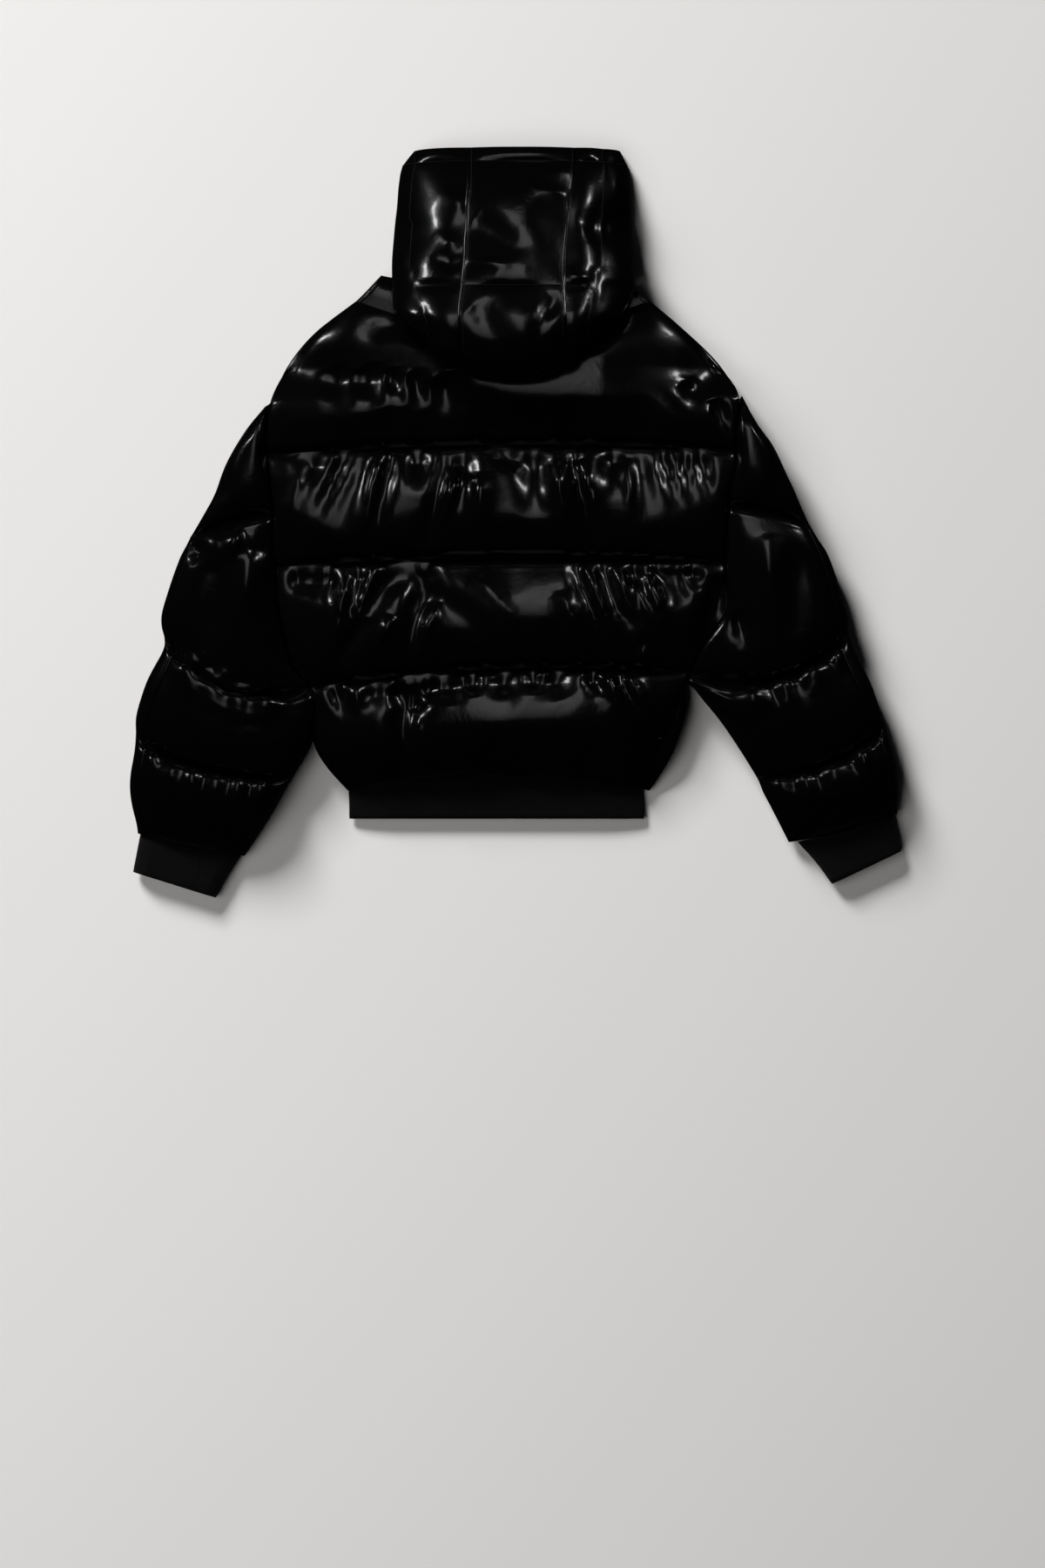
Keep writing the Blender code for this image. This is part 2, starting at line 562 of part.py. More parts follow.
def make_zip():
    """The closed zip between the fronts: two tapes, the chain, the slider and its pull tab."""
    for side, name in ((-1, "zip_tape_left"), (1, "zip_tape_right")):
        ends = sorted((side * (ZIP_CHAIN_HALF + SEAM_GAP), side * (ZIP_HALF_OPENING - SEAM_GAP)))
        zip_strip(name, ends, ZIP_TAPE_THICKNESS, TAPE)
    zip_strip("zip_chain", (-ZIP_CHAIN_HALF, ZIP_CHAIN_HALF), ZIP_CHAIN_THICKNESS, TEETH)

    bm = bmesh.new()
    box(bm, (ZIP_MIDDLE_X - SLIDER_HALF[0], SLIDER_Y - SLIDER_HALF[1], SLIDER_Z[0]),
        (ZIP_MIDDLE_X + SLIDER_HALF[0], SLIDER_Y + SLIDER_HALF[1], SLIDER_Z[1]))
    upright = [edge for edge in bm.edges
               if abs(edge.verts[0].co.z - edge.verts[1].co.z) > 0.5 * (SLIDER_Z[1] - SLIDER_Z[0])]
    bmesh.ops.bevel(bm, geom=upright, offset=SLIDER_CORNER, segments=2, profile=0.5, affect="EDGES",
                    material=-1)
    slider = add_object("zip_slider", bm, METAL)
    for side in (-1, 1):
        ends = sorted((side * (EAR_HALF_X - EAR_THICKNESS), side * EAR_HALF_X))
        boolean(slider, "UNION", lambda bm, ends=ends: box(
            bm, (ZIP_MIDDLE_X + ends[0], SLIDER_Y - EAR_HALF_LENGTH, PIN_Z - EAR_HALF_LENGTH),
            (ZIP_MIDDLE_X + ends[1], SLIDER_Y + EAR_HALF_LENGTH, SLIDER_Z[0] + EAR_ROOT)))
    boolean(slider, "UNION", lambda bm: x_cylinder(bm, PIN_RADIUS, EAR_HALF_X - PIN_END,
                                                   SLIDER_Y, PIN_Z))

    bm = bmesh.new()
    box(bm, (ZIP_MIDDLE_X - TAB_HALF_WIDTH, SLIDER_Y - TAB_NECK_END, PIN_Z - TAB_THICKNESS / 2),
        (ZIP_MIDDLE_X + TAB_HALF_WIDTH, SLIDER_Y, PIN_Z + TAB_THICKNESS / 2))
    tab = add_object("zip_pull_tab", bm, METAL)
    blade_half = TAB_THICKNESS / 2 + TAB_BLADE_SWELL
    boolean(tab, "UNION", lambda bm: x_cylinder(bm, TAB_EYE_RADIUS, TAB_HALF_WIDTH, SLIDER_Y, PIN_Z))
    boolean(tab, "UNION", lambda bm: box(
        bm, (ZIP_MIDDLE_X - TAB_BLADE_HALF, SLIDER_Y - TAB_LENGTH, PIN_Z - blade_half),
        (ZIP_MIDDLE_X + TAB_BLADE_HALF, SLIDER_Y - TAB_BLADE_START, PIN_Z + blade_half)))
    boolean(tab, "DIFFERENCE", lambda bm: x_cylinder(bm, TAB_HOLE_RADIUS, 2 * TAB_HALF_WIDTH,
                                                     SLIDER_Y, PIN_Z))


def stand_on_origin():
    """Move the jacket so that the middle of its box's base is the origin."""
    bpy.context.view_layer.update()
    points = [obj.matrix_world @ vert.co for obj in bpy.data.objects
              if obj.type == "MESH" and not obj.hide_render for vert in obj.data.vertices]
    low = [min(point[i] for point in points) for i in range(3)]
    high = [max(point[i] for point in points) for i in range(3)]
    jacket = bpy.data.objects["jacket"]
    jacket.location = (-(low[0] + high[0]) / 2, -(low[1] + high[1]) / 2, -low[2])
    print("jacket moved by", tuple(round(value, 5) for value in jacket.location))
    print("box", [round(b - a, 4) for a, b in zip(low, high)])


def main():
    for obj in list(bpy.data.objects):
        bpy.data.objects.remove(obj)
    jacket = bpy.data.objects.new("jacket", None)
    bpy.context.scene.collection.objects.link(jacket)
    make_body()
    make_sleeves()
    hem_band("hem_rib", RIBS["hem_rib"])
    for name in ("cuff_left", "cuff_right"):
        cuff_tube(name, RIBS[name])
    make_hood()
    make_zip()
    stand_on_origin()
    for obj in bpy.data.objects:
        if obj.type == "MESH" and not obj.hide_render:
            print(obj.name, len(obj.data.polygons))


main()
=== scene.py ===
# %% [markdown]
# # A glossy hooded puffer jacket, laid flat with its back up
# The jacket is sewn from black nylon with a wet-look coating, filled with padding and sewn
# through in lines, with knitted ribs at the hem and wrists. This lesson builds each padded
# piece from a short table of sections, lets Blender's cloth simulation pucker it between its
# stitch lines, and gives it the materials of the real one.

# %% Load the frame
import math
from collections import namedtuple

import bmesh
import bpy
import numpy as np
from mathutils import Matrix, Vector


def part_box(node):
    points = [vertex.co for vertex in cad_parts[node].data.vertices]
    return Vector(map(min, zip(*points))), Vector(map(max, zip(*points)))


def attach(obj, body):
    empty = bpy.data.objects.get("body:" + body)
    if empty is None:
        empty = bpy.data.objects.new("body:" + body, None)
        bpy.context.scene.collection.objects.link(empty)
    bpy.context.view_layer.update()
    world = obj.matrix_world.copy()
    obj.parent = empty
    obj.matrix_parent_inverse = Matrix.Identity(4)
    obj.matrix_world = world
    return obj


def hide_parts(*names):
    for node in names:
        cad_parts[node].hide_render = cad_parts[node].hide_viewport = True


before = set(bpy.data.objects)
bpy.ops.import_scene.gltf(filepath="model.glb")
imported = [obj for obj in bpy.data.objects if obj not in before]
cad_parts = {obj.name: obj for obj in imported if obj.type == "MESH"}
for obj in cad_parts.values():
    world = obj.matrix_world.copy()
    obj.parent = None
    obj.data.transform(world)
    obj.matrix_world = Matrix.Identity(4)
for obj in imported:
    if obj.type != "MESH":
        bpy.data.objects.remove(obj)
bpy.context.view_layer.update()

BODY_NAME = "jacket"

# %% [markdown]
# ## Where the tables stand
# The tables below measure x from the middle of the back and y from the lower edge of the hem,
# as a pattern cutter would. The hem rib's box tells where that point is in the frame.

# %% From the pattern to the frame
HEM_LEFT_X, HEM_EDGE_Y = -0.187, 0.001
hem_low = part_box("hem_rib")[0]
TO_FRAME = np.array([hem_low.x - HEM_LEFT_X, hem_low.y - HEM_EDGE_Y, 0.0])
print("pattern origin at", TO_FRAME.round(5))

# %% [markdown]
# ## Materials
# The cloth is nylon under a glossy coating. It reads as wet: nearly black, with clear
# highlights that break up in fine creases. The knit is the opposite, matte and soft.

# %% Helpers


def new_object(name, bm, material=None):
    """Turn a bmesh into an object of the scene."""
    mesh = bpy.data.meshes.new(name)
    bm.to_mesh(mesh)
    bm.free()
    if material:
        mesh.materials.append(material)
    obj = bpy.data.objects.new(name, mesh)
    bpy.context.scene.collection.objects.link(obj)
    return obj


def new_material(name, colour, roughness, metallic=0.0, specular=0.5):
    """A Principled material, its node tree and its shader."""
    material = bpy.data.materials.new(name)
    material.use_nodes = True
    shader = material.node_tree.nodes["Principled BSDF"]
    for label, value in (("Base Color", (*colour, 1)), ("Roughness", roughness),
                         ("Metallic", metallic), ("Specular IOR Level", specular)):
        shader.inputs[label].default_value = value
    return material, material.node_tree, shader


def add_node(tree, kind, values=None, **settings):
    """A node with its settings and its sockets' values."""
    node = tree.nodes.new(kind)
    for key, value in settings.items():
        setattr(node, key, value)
    for key, value in (values or {}).items():
        node.inputs[key].default_value = value
    return node


def join(tree, *pairs):
    for source, target in pairs:
        tree.links.new(source, target)


def object_place(tree):
    return add_node(tree, "ShaderNodeTexCoord").outputs["Object"]


# %% Shared effects


def effect_group(name, inputs):
    """A node group that turns a place on the cloth into a height from 0 to 1."""
    group = bpy.data.node_groups.new(name, "ShaderNodeTree")
    group.interface.new_socket(name="Place", in_out="INPUT", socket_type="NodeSocketVector")
    for label, value in inputs.items():
        socket = group.interface.new_socket(name=label, in_out="INPUT", socket_type="NodeSocketFloat")
        socket.default_value = value
    group.interface.new_socket(name="Height", in_out="OUTPUT", socket_type="NodeSocketFloat")
    return group, group.nodes.new("NodeGroupInput").outputs, group.nodes.new("NodeGroupOutput")


def make_creases():
    """Fine creases: thin bent lines where stiff coated cloth has been folded over and over."""
    group, given, result = effect_group("fine_creases", {"Scale": 60.0, "Bend": 0.8})
    noise = add_node(group, "ShaderNodeTexNoise", {"Detail": 3.0, "Roughness": 0.55})
    ridge = add_node(group, "ShaderNodeMath", {1: 0.5}, operation="SUBTRACT")
    fold = add_node(group, "ShaderNodeMath", operation="ABSOLUTE")
    sharp = add_node(group, "ShaderNodeMapRange", {
        "From Min": 0.0, "From Max": 0.12, "To Min": 1.0, "To Max": 0.0},
        interpolation_type="SMOOTHSTEP")
    join(group, (given["Place"], noise.inputs["Vector"]), (given["Scale"], noise.inputs["Scale"]),
         (given["Bend"], noise.inputs["Distortion"]), (noise.outputs["Fac"], ridge.inputs[0]),
         (ridge.outputs["Value"], fold.inputs[0]), (fold.outputs["Value"], sharp.inputs["Value"]),
         (sharp.outputs["Result"], result.inputs["Height"]))
    return group


def make_yarn():
    """Yarns that cross: two sets of waves, one turned against the other."""
    group, given, result = effect_group("yarns", {"Scale": 300.0, "Unevenness": 1.0})
    product = add_node(group, "ShaderNodeMath", operation="MULTIPLY")
    for number, direction in enumerate("XY"):
        wave = add_node(group, "ShaderNodeTexWave", {"Detail": 2.0, "Detail Scale": 1.5},
                        wave_type="BANDS", bands_direction=direction)
        join(group, (given["Place"], wave.inputs["Vector"]), (given["Scale"], wave.inputs["Scale"]),
             (given["Unevenness"], wave.inputs["Distortion"]),
             (wave.outputs["Fac"], product.inputs[number]))
    join(group, (product.outputs["Value"], result.inputs["Height"]))
    return group


CREASES = make_creases()
YARNS = make_yarn()

# %% How a material is made


def vary(tree, shader, place, socket, scale, detail, low, high):
    """Let a noise move one of the shader's numbers or colours between two values."""
    noise = add_node(tree, "ShaderNodeTexNoise", {"Scale": scale, "Detail": detail})
    if socket == "Base Color":
        span = add_node(tree, "ShaderNodeMix", {"A": (*low, 1), "B": (*high, 1)}, data_type="RGBA")
        given = span.inputs["Factor"]
    else:
        span = add_node(tree, "ShaderNodeMapRange", {
            "From Min": 0.3, "From Max": 0.7, "To Min": low, "To Max": high})
        given = span.inputs["Value"]
    join(tree, (place, noise.inputs["Vector"]), (noise.outputs["Fac"], given),
         (span.outputs["Result"], shader.inputs[socket]))


def make_material(name, colour, roughness, varied, bumps, sockets=None, **shine):
    """A material that changes from place to place. A row of varied is a socket, a noise's scale
    and detail, and two values. A row of bumps is where the height comes from (a shared effect, or
    None for noise), the values that it takes, its strength and its depth."""
    material, tree, shader = new_material(name, colour, roughness, **shine)
    for label, value in (sockets or {}).items():
        shader.inputs[label].default_value = value
    place = object_place(tree)
    for row in varied:
        vary(tree, shader, place, *row)
    target = shader.inputs["Normal"]
    for effect, values, strength, depth in reversed(bumps):
        if effect:
            source = add_node(tree, "ShaderNodeGroup", values, node_tree=effect)
            given, height = source.inputs["Place"], source.outputs["Height"]
        else:
            source = add_node(tree, "ShaderNodeTexNoise", values)
            given, height = source.inputs["Vector"], source.outputs["Fac"]
        bump = add_node(tree, "ShaderNodeBump", {"Strength": strength, "Distance": depth})
        join(tree, (place, given), (height, bump.inputs["Height"]), (bump.outputs["Normal"], target))
        target = bump.inputs["Normal"]
    return material


# %% [markdown]
# The nylon's coating is a thin film of resin. It is smooth where the padding fills it and duller
# in clouds where it has been rubbed, with a web of fine creases and, closest, the plain weave.

# %% Glossy coated nylon
NYLON = make_material(
    "coated_nylon", (0.0006, 0.0006, 0.0007), 0.2, sockets={"Coat Weight": 0.30, "Coat Roughness": 0.07},
    varied=[("Roughness", 14.0, 4.0, 0.17, 0.26)],
    bumps=[(None, {"Scale": 70.0, "Detail": 4.0, "Roughness": 0.6, "Distortion": 0.6}, 0.10, 0.0010),
           (CREASES, {"Scale": 34.0, "Bend": 1.2}, 0.12, 0.0004),
           (YARNS, {"Scale": 420.0, "Unevenness": 0.6}, 0.06, 0.0001)])

# %% [markdown]
# The ribs are a dense cotton-mix knit with a soft, slightly hairy face. The thread is a thick
# twisted polyester. The zip has twill tapes, moulded teeth and a slider of black lacquered
# metal, rubbed a little brighter by the hand.

# %% Knit, thread and zip
RIB_KNIT = make_material(
    "rib_knit", (0.005, 0.004, 0.0045), 0.95, specular=0.15,
    sockets={"Sheen Weight": 0.03, "Sheen Roughness": 0.6},
    varied=[("Base Color", 90.0, 3.0, (0.0013, 0.0011, 0.0013), (0.0029, 0.0024, 0.0028))],
    bumps=[(YARNS, {"Scale": 200.0, "Unevenness": 2.0}, 0.5, 0.0005),
           (None, {"Scale": 1500.0, "Detail": 2.0}, 0.3, 0.0002)])
THREAD = make_material(
    "thread", (0.006, 0.006, 0.007), 0.5, specular=0.4,
    varied=[("Base Color", 600.0, 3.0, (0.003, 0.003, 0.0035), (0.010, 0.010, 0.011))],
    bumps=[(YARNS, {"Scale": 700.0, "Unevenness": 1.0}, 0.5, 0.0001)])
TAPE = make_material(
    "zip_tape", (0.010, 0.010, 0.011), 0.85, specular=0.3,
    varied=[("Base Color", 250.0, 3.0, (0.008, 0.008, 0.009), (0.014, 0.014, 0.015))],
    bumps=[(YARNS, {"Scale": 380.0, "Unevenness": 0.4}, 0.6, 0.0003)])
TEETH = make_material(
    "zip_teeth", (0.012, 0.012, 0.013), 0.35, varied=[("Roughness", 160.0, 3.0, 0.28, 0.45)],
    bumps=[(None, {"Scale": 900.0, "Detail": 2.0}, 0.15, 0.0001)])
METAL = make_material(
    "zip_metal", (0.05, 0.05, 0.055), 0.35, metallic=0.9,
    varied=[("Base Color", 220.0, 3.0, (0.035, 0.035, 0.040), (0.085, 0.085, 0.090)),
            ("Roughness", 500.0, 3.0, 0.25, 0.45)],
    bumps=[(CREASES, {"Scale": 420.0, "Bend": 0.2}, 0.2, 0.0001)])
print("materials", [material.name for material in (NYLON, RIB_KNIT, THREAD, TAPE, TEETH, METAL)])

# %% [markdown]
# ## Camera, floor and light
# The jacket is seen from straight above with a long lens. A key light beyond the hood throws soft
# shadows to the lower right. A tall reflector there draws the highlights on the upper slope of
# each puff, and two small lights draw glints on the creases; these three light only the gloss.
# The rest of the room is dark, which keeps the black cloth black.

# %% Camera
VIEW_CENTRE = (0.0297, 0.0443)      # in the pattern's x and y
VIEW_HEIGHT = 1.944                 # length of the floor that fills the picture, top to bottom
CAMERA_HEIGHT = 5.0
SENSOR = 36.0
SHARP_HEIGHT = 0.03                 # the height at which VIEW_HEIGHT is measured

camera_data = bpy.data.cameras.new("camera")
camera_data.sensor_width = SENSOR
camera_data.lens = SENSOR * (CAMERA_HEIGHT - SHARP_HEIGHT) / VIEW_HEIGHT
camera_data.clip_end = 50
camera = bpy.data.objects.new("camera", camera_data)
bpy.context.scene.collection.objects.link(camera)
camera.location = (VIEW_CENTRE[0] + TO_FRAME[0], VIEW_CENTRE[1] + TO_FRAME[1], CAMERA_HEIGHT)
bpy.context.scene.camera = camera
print("lens", round(camera_data.lens, 1), "mm")

# %% Floor
FLOOR_HALF, FLOOR_Z = 6.0, -0.0004

floor_bm = bmesh.new()
bmesh.ops.create_grid(floor_bm, x_segments=1, y_segments=1, size=FLOOR_HALF)
floor_paint, _, _ = new_material("floor_paint", (0.72, 0.71, 0.70), 0.9, specular=0.1)
floor = new_object("floor", floor_bm, floor_paint)
floor.location.z = FLOOR_Z
floor.visible_glossy = False         # so that the steep edges of the puffs stay black
print("floor", 2 * FLOOR_HALF, "m square")

# %% Lights
Light = namedtuple("Light", "name place target side power colour mirrored lights")
MIDDLE, WHITE = (0, 0, 0), (1, 1, 1)
LIGHTS = [
    Light("key", (-4.4, 6.7, 4.7), MIDDLE, 3.0, 1300, WHITE, False, True),
    Light("overhead", (-2.4, -1.2, 3.8), (-0.5, -0.8, 0), 3.5, 80, (1.0, 0.985, 0.97), False, True),
    Light("glint_left", (-2.6, 2.4, 1.6), MIDDLE, 0.4, 12.0, WHITE, True, False),
    Light("glint_right", (2.0, 2.4, 1.6), MIDDLE, 0.4, 7.2, WHITE, True, False),
]
REFLECTOR_WIDTH, REFLECTOR_X = 0.9, -0.05
REFLECTOR_FOOT, REFLECTOR_TOP = (2.45, 2.35), (0.25, 4.75)     # as (y, z)
REFLECTOR_GLOW, REFLECTOR_FADE = 1.25, 0.15

for row in LIGHTS:
    light = bpy.data.lights.new(row.name, "AREA")
    light.size, light.energy, light.color = row.side, row.power, row.colour
    lamp = bpy.data.objects.new(row.name, light)
    bpy.context.scene.collection.objects.link(lamp)
    lamp.location = row.place
    lamp.rotation_euler = (Vector(row.target) - lamp.location).to_track_quat("-Z", "Y").to_euler()
    lamp.visible_glossy, lamp.visible_diffuse = row.mirrored, row.lights


def make_reflector():
    """A tall softbox that is brightest at its foot and fades towards its top. It lights nothing
    but the gloss of the cloth."""
    bm = bmesh.new()
    bmesh.ops.create_grid(bm, x_segments=1, y_segments=1, size=0.5)
    for vert in bm.verts:
        end = REFLECTOR_FOOT if vert.co.y < 0 else REFLECTOR_TOP
        vert.co = (vert.co.x * REFLECTOR_WIDTH + REFLECTOR_X, *end)
    material, tree, shader = new_material("reflector_light", (0, 0, 0), 1.0)
    tree.nodes.remove(shader)
    parts = add_node(tree, "ShaderNodeSeparateXYZ")
    ramp = add_node(tree, "ShaderNodeMapRange", {
        "From Min": REFLECTOR_FOOT[1], "From Max": REFLECTOR_TOP[1],
        "To Min": REFLECTOR_GLOW, "To Max": REFLECTOR_FADE * REFLECTOR_GLOW})
    light = add_node(tree, "ShaderNodeEmission")
    join(tree, (object_place(tree), parts.inputs["Vector"]), (parts.outputs["Z"], ramp.inputs["Value"]),
         (ramp.outputs["Result"], light.inputs["Strength"]),
         (light.outputs["Emission"], tree.nodes["Material Output"].inputs["Surface"]))
    reflector = new_object("reflector", bm, material)
    reflector.visible_camera = reflector.visible_diffuse = reflector.visible_shadow = False


make_reflector()
world = bpy.data.worlds.new("dim_room")
world.use_nodes = True
world.node_tree.nodes["Background"].inputs["Color"].default_value = (0.9, 0.92, 1.0, 1)
world.node_tree.nodes["Background"].inputs["Strength"].default_value = 0.005
bpy.context.scene.world = world
bpy.context.scene.view_settings.view_transform = "Standard"
print("lights", [row.name for row in LIGHTS], "and a reflector")

# %% [markdown]
# ## Sections
# Each padded piece is part of a flattened ring, drawn through a short table of sections. A
# section has its two ends on the plan, how far its middle bows towards the hood, the height of
# its puffs, the height of the plane between its upper and lower cloth, and how high a sleeve
# or body holds its edge up at a seam. The plan is that of the frame's solids, with deeper quilt
# lines and a slightly fuller yoke.

# %% Tables
Section = namedtuple("Section", "name left right bow crest mid hold_left hold_right quilted")
H = 0.5                              # height of an armhole seam as a share of the puffs

BODY = [Section(*row) for row in (
    ("hem",       (-0.188, 0.036), (0.179, 0.036), 0.018, 0.040, 0.0080, 0, 0, True),
    ("above_hem", (-0.214, 0.066), (0.195, 0.078), 0.016, 0.056, 0.0240, 0, 0, False),
    ("waist",     (-0.230, 0.097), (0.219, 0.129), 0.014, 0.066, 0.0300, 0, 0, False),
    ("quilt_3",   (-0.233, 0.163), (0.236, 0.181), 0.015, 0.068, 0.0300, H, H, True),
    ("underarm",  (-0.252, 0.189), (0.249, 0.210), 0.014, 0.070, 0.0300, H, H, False),
    ("chest_1",   (-0.264, 0.229), (0.280, 0.256), 0.012, 0.072, 0.0300, H, H, False),
    ("chest_2",   (-0.273, 0.271), (0.282, 0.287), 0.010, 0.072, 0.0300, H, H, False),
    ("quilt_2",   (-0.277, 0.312), (0.281, 0.318), 0.010, 0.072, 0.0300, H, H, True),
    ("chest_3",   (-0.278, 0.379), (0.283, 0.390), 0.010, 0.073, 0.0300, H, H, False),
    ("chest_4",   (-0.280, 0.406), (0.287, 0.414), 0.010, 0.073, 0.0300, H, H, False),
    ("quilt_1",   (-0.286, 0.451), (0.294, 0.457), 0.010, 0.071, 0.0300, H, H, True),
    ("yoke_1",    (-0.285, 0.487), (0.293, 0.486), 0.008, 0.070, 0.0295, H, H, False),
    ("yoke_2",    (-0.282, 0.517), (0.298, 0.521), 0.003, 0.069, 0.0290, H, H, False),
    ("yoke_3",    (-0.262, 0.562), (0.275, 0.563), -0.006, 0.067, 0.0270, 0, 0, False),
    ("shoulder",  (-0.222, 0.610), (0.225, 0.613), -0.022, 0.066, 0.0218, 0, 0, False),
    ("back_neck", (-0.177, 0.644), (0.188, 0.644), -0.038, 0.060, 0.0210, 0, 0, True),
)]
FRONT_WIDER_RIGHT = {"hem": (0.188, 0.036), "above_hem": (0.214, 0.078), "waist": (0.231, 0.129)}
FRONT_NECK = Section("front_neck", (-0.146, 0.676), (0.172, 0.656), -0.010, 0.030, 0.0205, 0, 0, True)

SleeveRow = namedtuple("SleeveRow", "inner outer bow crest mid quilted")

SLEEVE_LEFT = [SleeveRow(*row) for row in (
    ("yoke_2",   (-0.290, 0.512), 0.000, 0.040, 0.0270, True),
    ("yoke_1",   (-0.309, 0.487), 0.000, 0.056, 0.0285, False),
    ("quilt_1",  (-0.335, 0.444), 0.000, 0.062, 0.0300, False),
    ("chest_4",  (-0.356, 0.396), 0.002, 0.066, 0.0300, False),
    ("chest_3",  (-0.382, 0.350), 0.004, 0.066, 0.0300, True),
    ("quilt_2",  (-0.398, 0.314), -0.006, 0.068, 0.0300, False),
    ("chest_2",  (-0.410, 0.279), -0.014, 0.070, 0.0300, False),
    ("chest_1",  (-0.417, 0.254), -0.022, 0.070, 0.0300, False),
    ("underarm", (-0.417, 0.238), -0.030, 0.068, 0.0300, False),
    ("quilt_3",  (-0.414, 0.222), -0.034, 0.066, 0.0300, True),
    ("waist",    (-0.440, 0.160), -0.026, 0.068, 0.0300, False),
    ((-0.240, 0.077), (-0.449, 0.128), -0.020, 0.066, 0.0300, False),
    ((-0.256, 0.051), (-0.450, 0.102), -0.016, 0.064, 0.0290, True),
    ((-0.284, 0.002), (-0.457, 0.040), -0.010, 0.062, 0.0270, False),
    ((-0.316, -0.045), (-0.449, -0.017), -0.004, 0.036, 0.0130, True),
)]
SLEEVE_RIGHT = [SleeveRow(*row) for row in (
    ("yoke_2",   (0.302, 0.526), 0.000, 0.040, 0.0270, True),
    ("yoke_1",   (0.319, 0.495), 0.000, 0.056, 0.0285, False),
    ("quilt_1",  (0.339, 0.465), 0.000, 0.062, 0.0300, False),
    ("chest_4",  (0.364, 0.412), 0.002, 0.066, 0.0300, False),
    ("chest_3",  (0.386, 0.365), 0.004, 0.066, 0.0300, True),
    ("quilt_2",  (0.410, 0.322), -0.006, 0.068, 0.0300, False),
    ("chest_2",  (0.423, 0.284), -0.014, 0.070, 0.0300, False),
    ("chest_1",  (0.431, 0.257), -0.022, 0.070, 0.0300, False),
    ("underarm", (0.434, 0.244), -0.030, 0.068, 0.0300, False),
    ("quilt_3",  (0.434, 0.231), -0.034, 0.066, 0.0300, True),
    ((0.246, 0.158), (0.461, 0.170), -0.026, 0.068, 0.0300, False),
    ((0.278, 0.118), (0.472, 0.138), -0.022, 0.066, 0.0300, False),
    ((0.320, 0.053), (0.480, 0.116), -0.018, 0.064, 0.0290, True),
    ((0.341, 0.010), (0.495, 0.060), -0.010, 0.062, 0.0270, False),
    ((0.361, -0.028), (0.496, 0.008), -0.004, 0.036, 0.0130, True),
)]

Arch = namedtuple("Arch", "foot_y foot_z lean height left seam_left seam_right right quilted")

HOOD = [Arch(*row) for row in (
    (0.622, 0.0735, 88, 0.080, -0.070, -0.042, 0.084, 0.108, True),
    (0.622, 0.0735, 66, 0.081, -0.090, -0.044, 0.084, 0.118, False),
    (0.622, 0.0735, 33, 0.070, -0.112, -0.046, 0.083, 0.134, False),
    (0.624, 0.0735, 0, 0.055, -0.128, -0.047, 0.081, 0.154, False),
    (0.653, 0.0520, 0, 0.066, -0.131, -0.044, 0.080, 0.167, True),
    (0.687, 0.0320, 0, 0.073, -0.132, -0.041, 0.081, 0.168, False),
    (0.725, 0.0000, 0, 0.092, -0.130, -0.039, 0.084, 0.167, False),
    (0.762, 0.0000, 0, 0.080, -0.127, -0.038, 0.088, 0.166, False),
    (0.795, 0.0000, 0, 0.066, -0.124, -0.037, 0.093, 0.164, False),
    (0.814, 0.0000, 0, 0.055, -0.120, -0.037, 0.095, 0.161, True),
    (0.832, 0.0000, 0, 0.042, -0.106, -0.037, 0.095, 0.152, False),
)]

# %% Dense sections
SIM_SPACING = 0.0088                 # mesh size while the cloth is simulated
BODY_ROUNDNESS = 0.52                # how slowly a puff rises from its quilt line
PUFF_SAG = 0.74                      # below 1, the filling has sunk towards the lower line
SLEEVE_ROUNDNESS = 0.34
SLEEVE_OFFSET = 0.0005               # between a sleeve and the body, at the armhole seam


def spline(stations, values, at):
    """A smooth curve through the rows of a table: Hermite pieces with averaged slopes."""
    values = np.asarray(values, float)
    slopes = np.gradient(values, stations, axis=0)
    index = np.clip(np.searchsorted(stations, at, side="right") - 1, 0, len(stations) - 2)
    span = stations[index + 1] - stations[index]
    t = (at - stations[index]) / span
    if values.ndim == 2:
        t, span = t[:, None], span[:, None]
    return ((2 * t**3 - 3 * t**2 + 1) * values[index] + (t**3 - 2 * t**2 + t) * span * slopes[index]
            + (3 * t**2 - 2 * t**3) * values[index + 1] + (t**3 - t**2) * span * slopes[index + 1])


def flat_middle(row):
    return (np.array(row["left"]) + np.array(row["right"])) / 2


def dense_sections(rows, middle=flat_middle, roundness=BODY_ROUNDNESS, spacing=SIM_SPACING):
    """Sections as arrays, a spacing apart, with every table row kept. middle(row) is a point."""
    middles = np.array([middle(row) for row in rows])
    steps = np.linalg.norm(np.diff(middles, axis=0), axis=1)
    stations = np.concatenate([[0], np.cumsum(steps)])
    at = [0.0]
    for start, end in zip(stations, stations[1:]):
        count = max(1, round((end - start) / spacing))
        at.extend(start + (end - start) * (np.arange(count) + 1) / count)
    at = np.array(at)
    dense = {key: spline(stations, [row[key] for row in rows], at)
             for key in rows[0] if key != "quilted"}
    lines = np.array([station for station, row in zip(stations, rows) if row["quilted"]])
    below = np.array([max(lines[lines <= value + 1e-9], default=np.nan) for value in at])
    above = np.array([min(lines[lines >= value - 1e-9], default=np.nan) for value in at])
    gap = np.where(above - below < 1e-9, 1.0, above - below)
    puff = np.sin(np.pi * np.clip((at - below) / gap, 0, 1) ** PUFF_SAG) ** roundness
    puff[above - below < 1e-9] = 0.0
    dense["puff"] = np.where(np.isnan(puff), 1.0, puff)
    dense["station"] = at
    dense["lines"] = [int(np.argmin(abs(at - line))) for line in lines]
    return dense


def body_rows():
    return [{key: value for key, value in row._asdict().items() if key != "name"} for row in BODY]


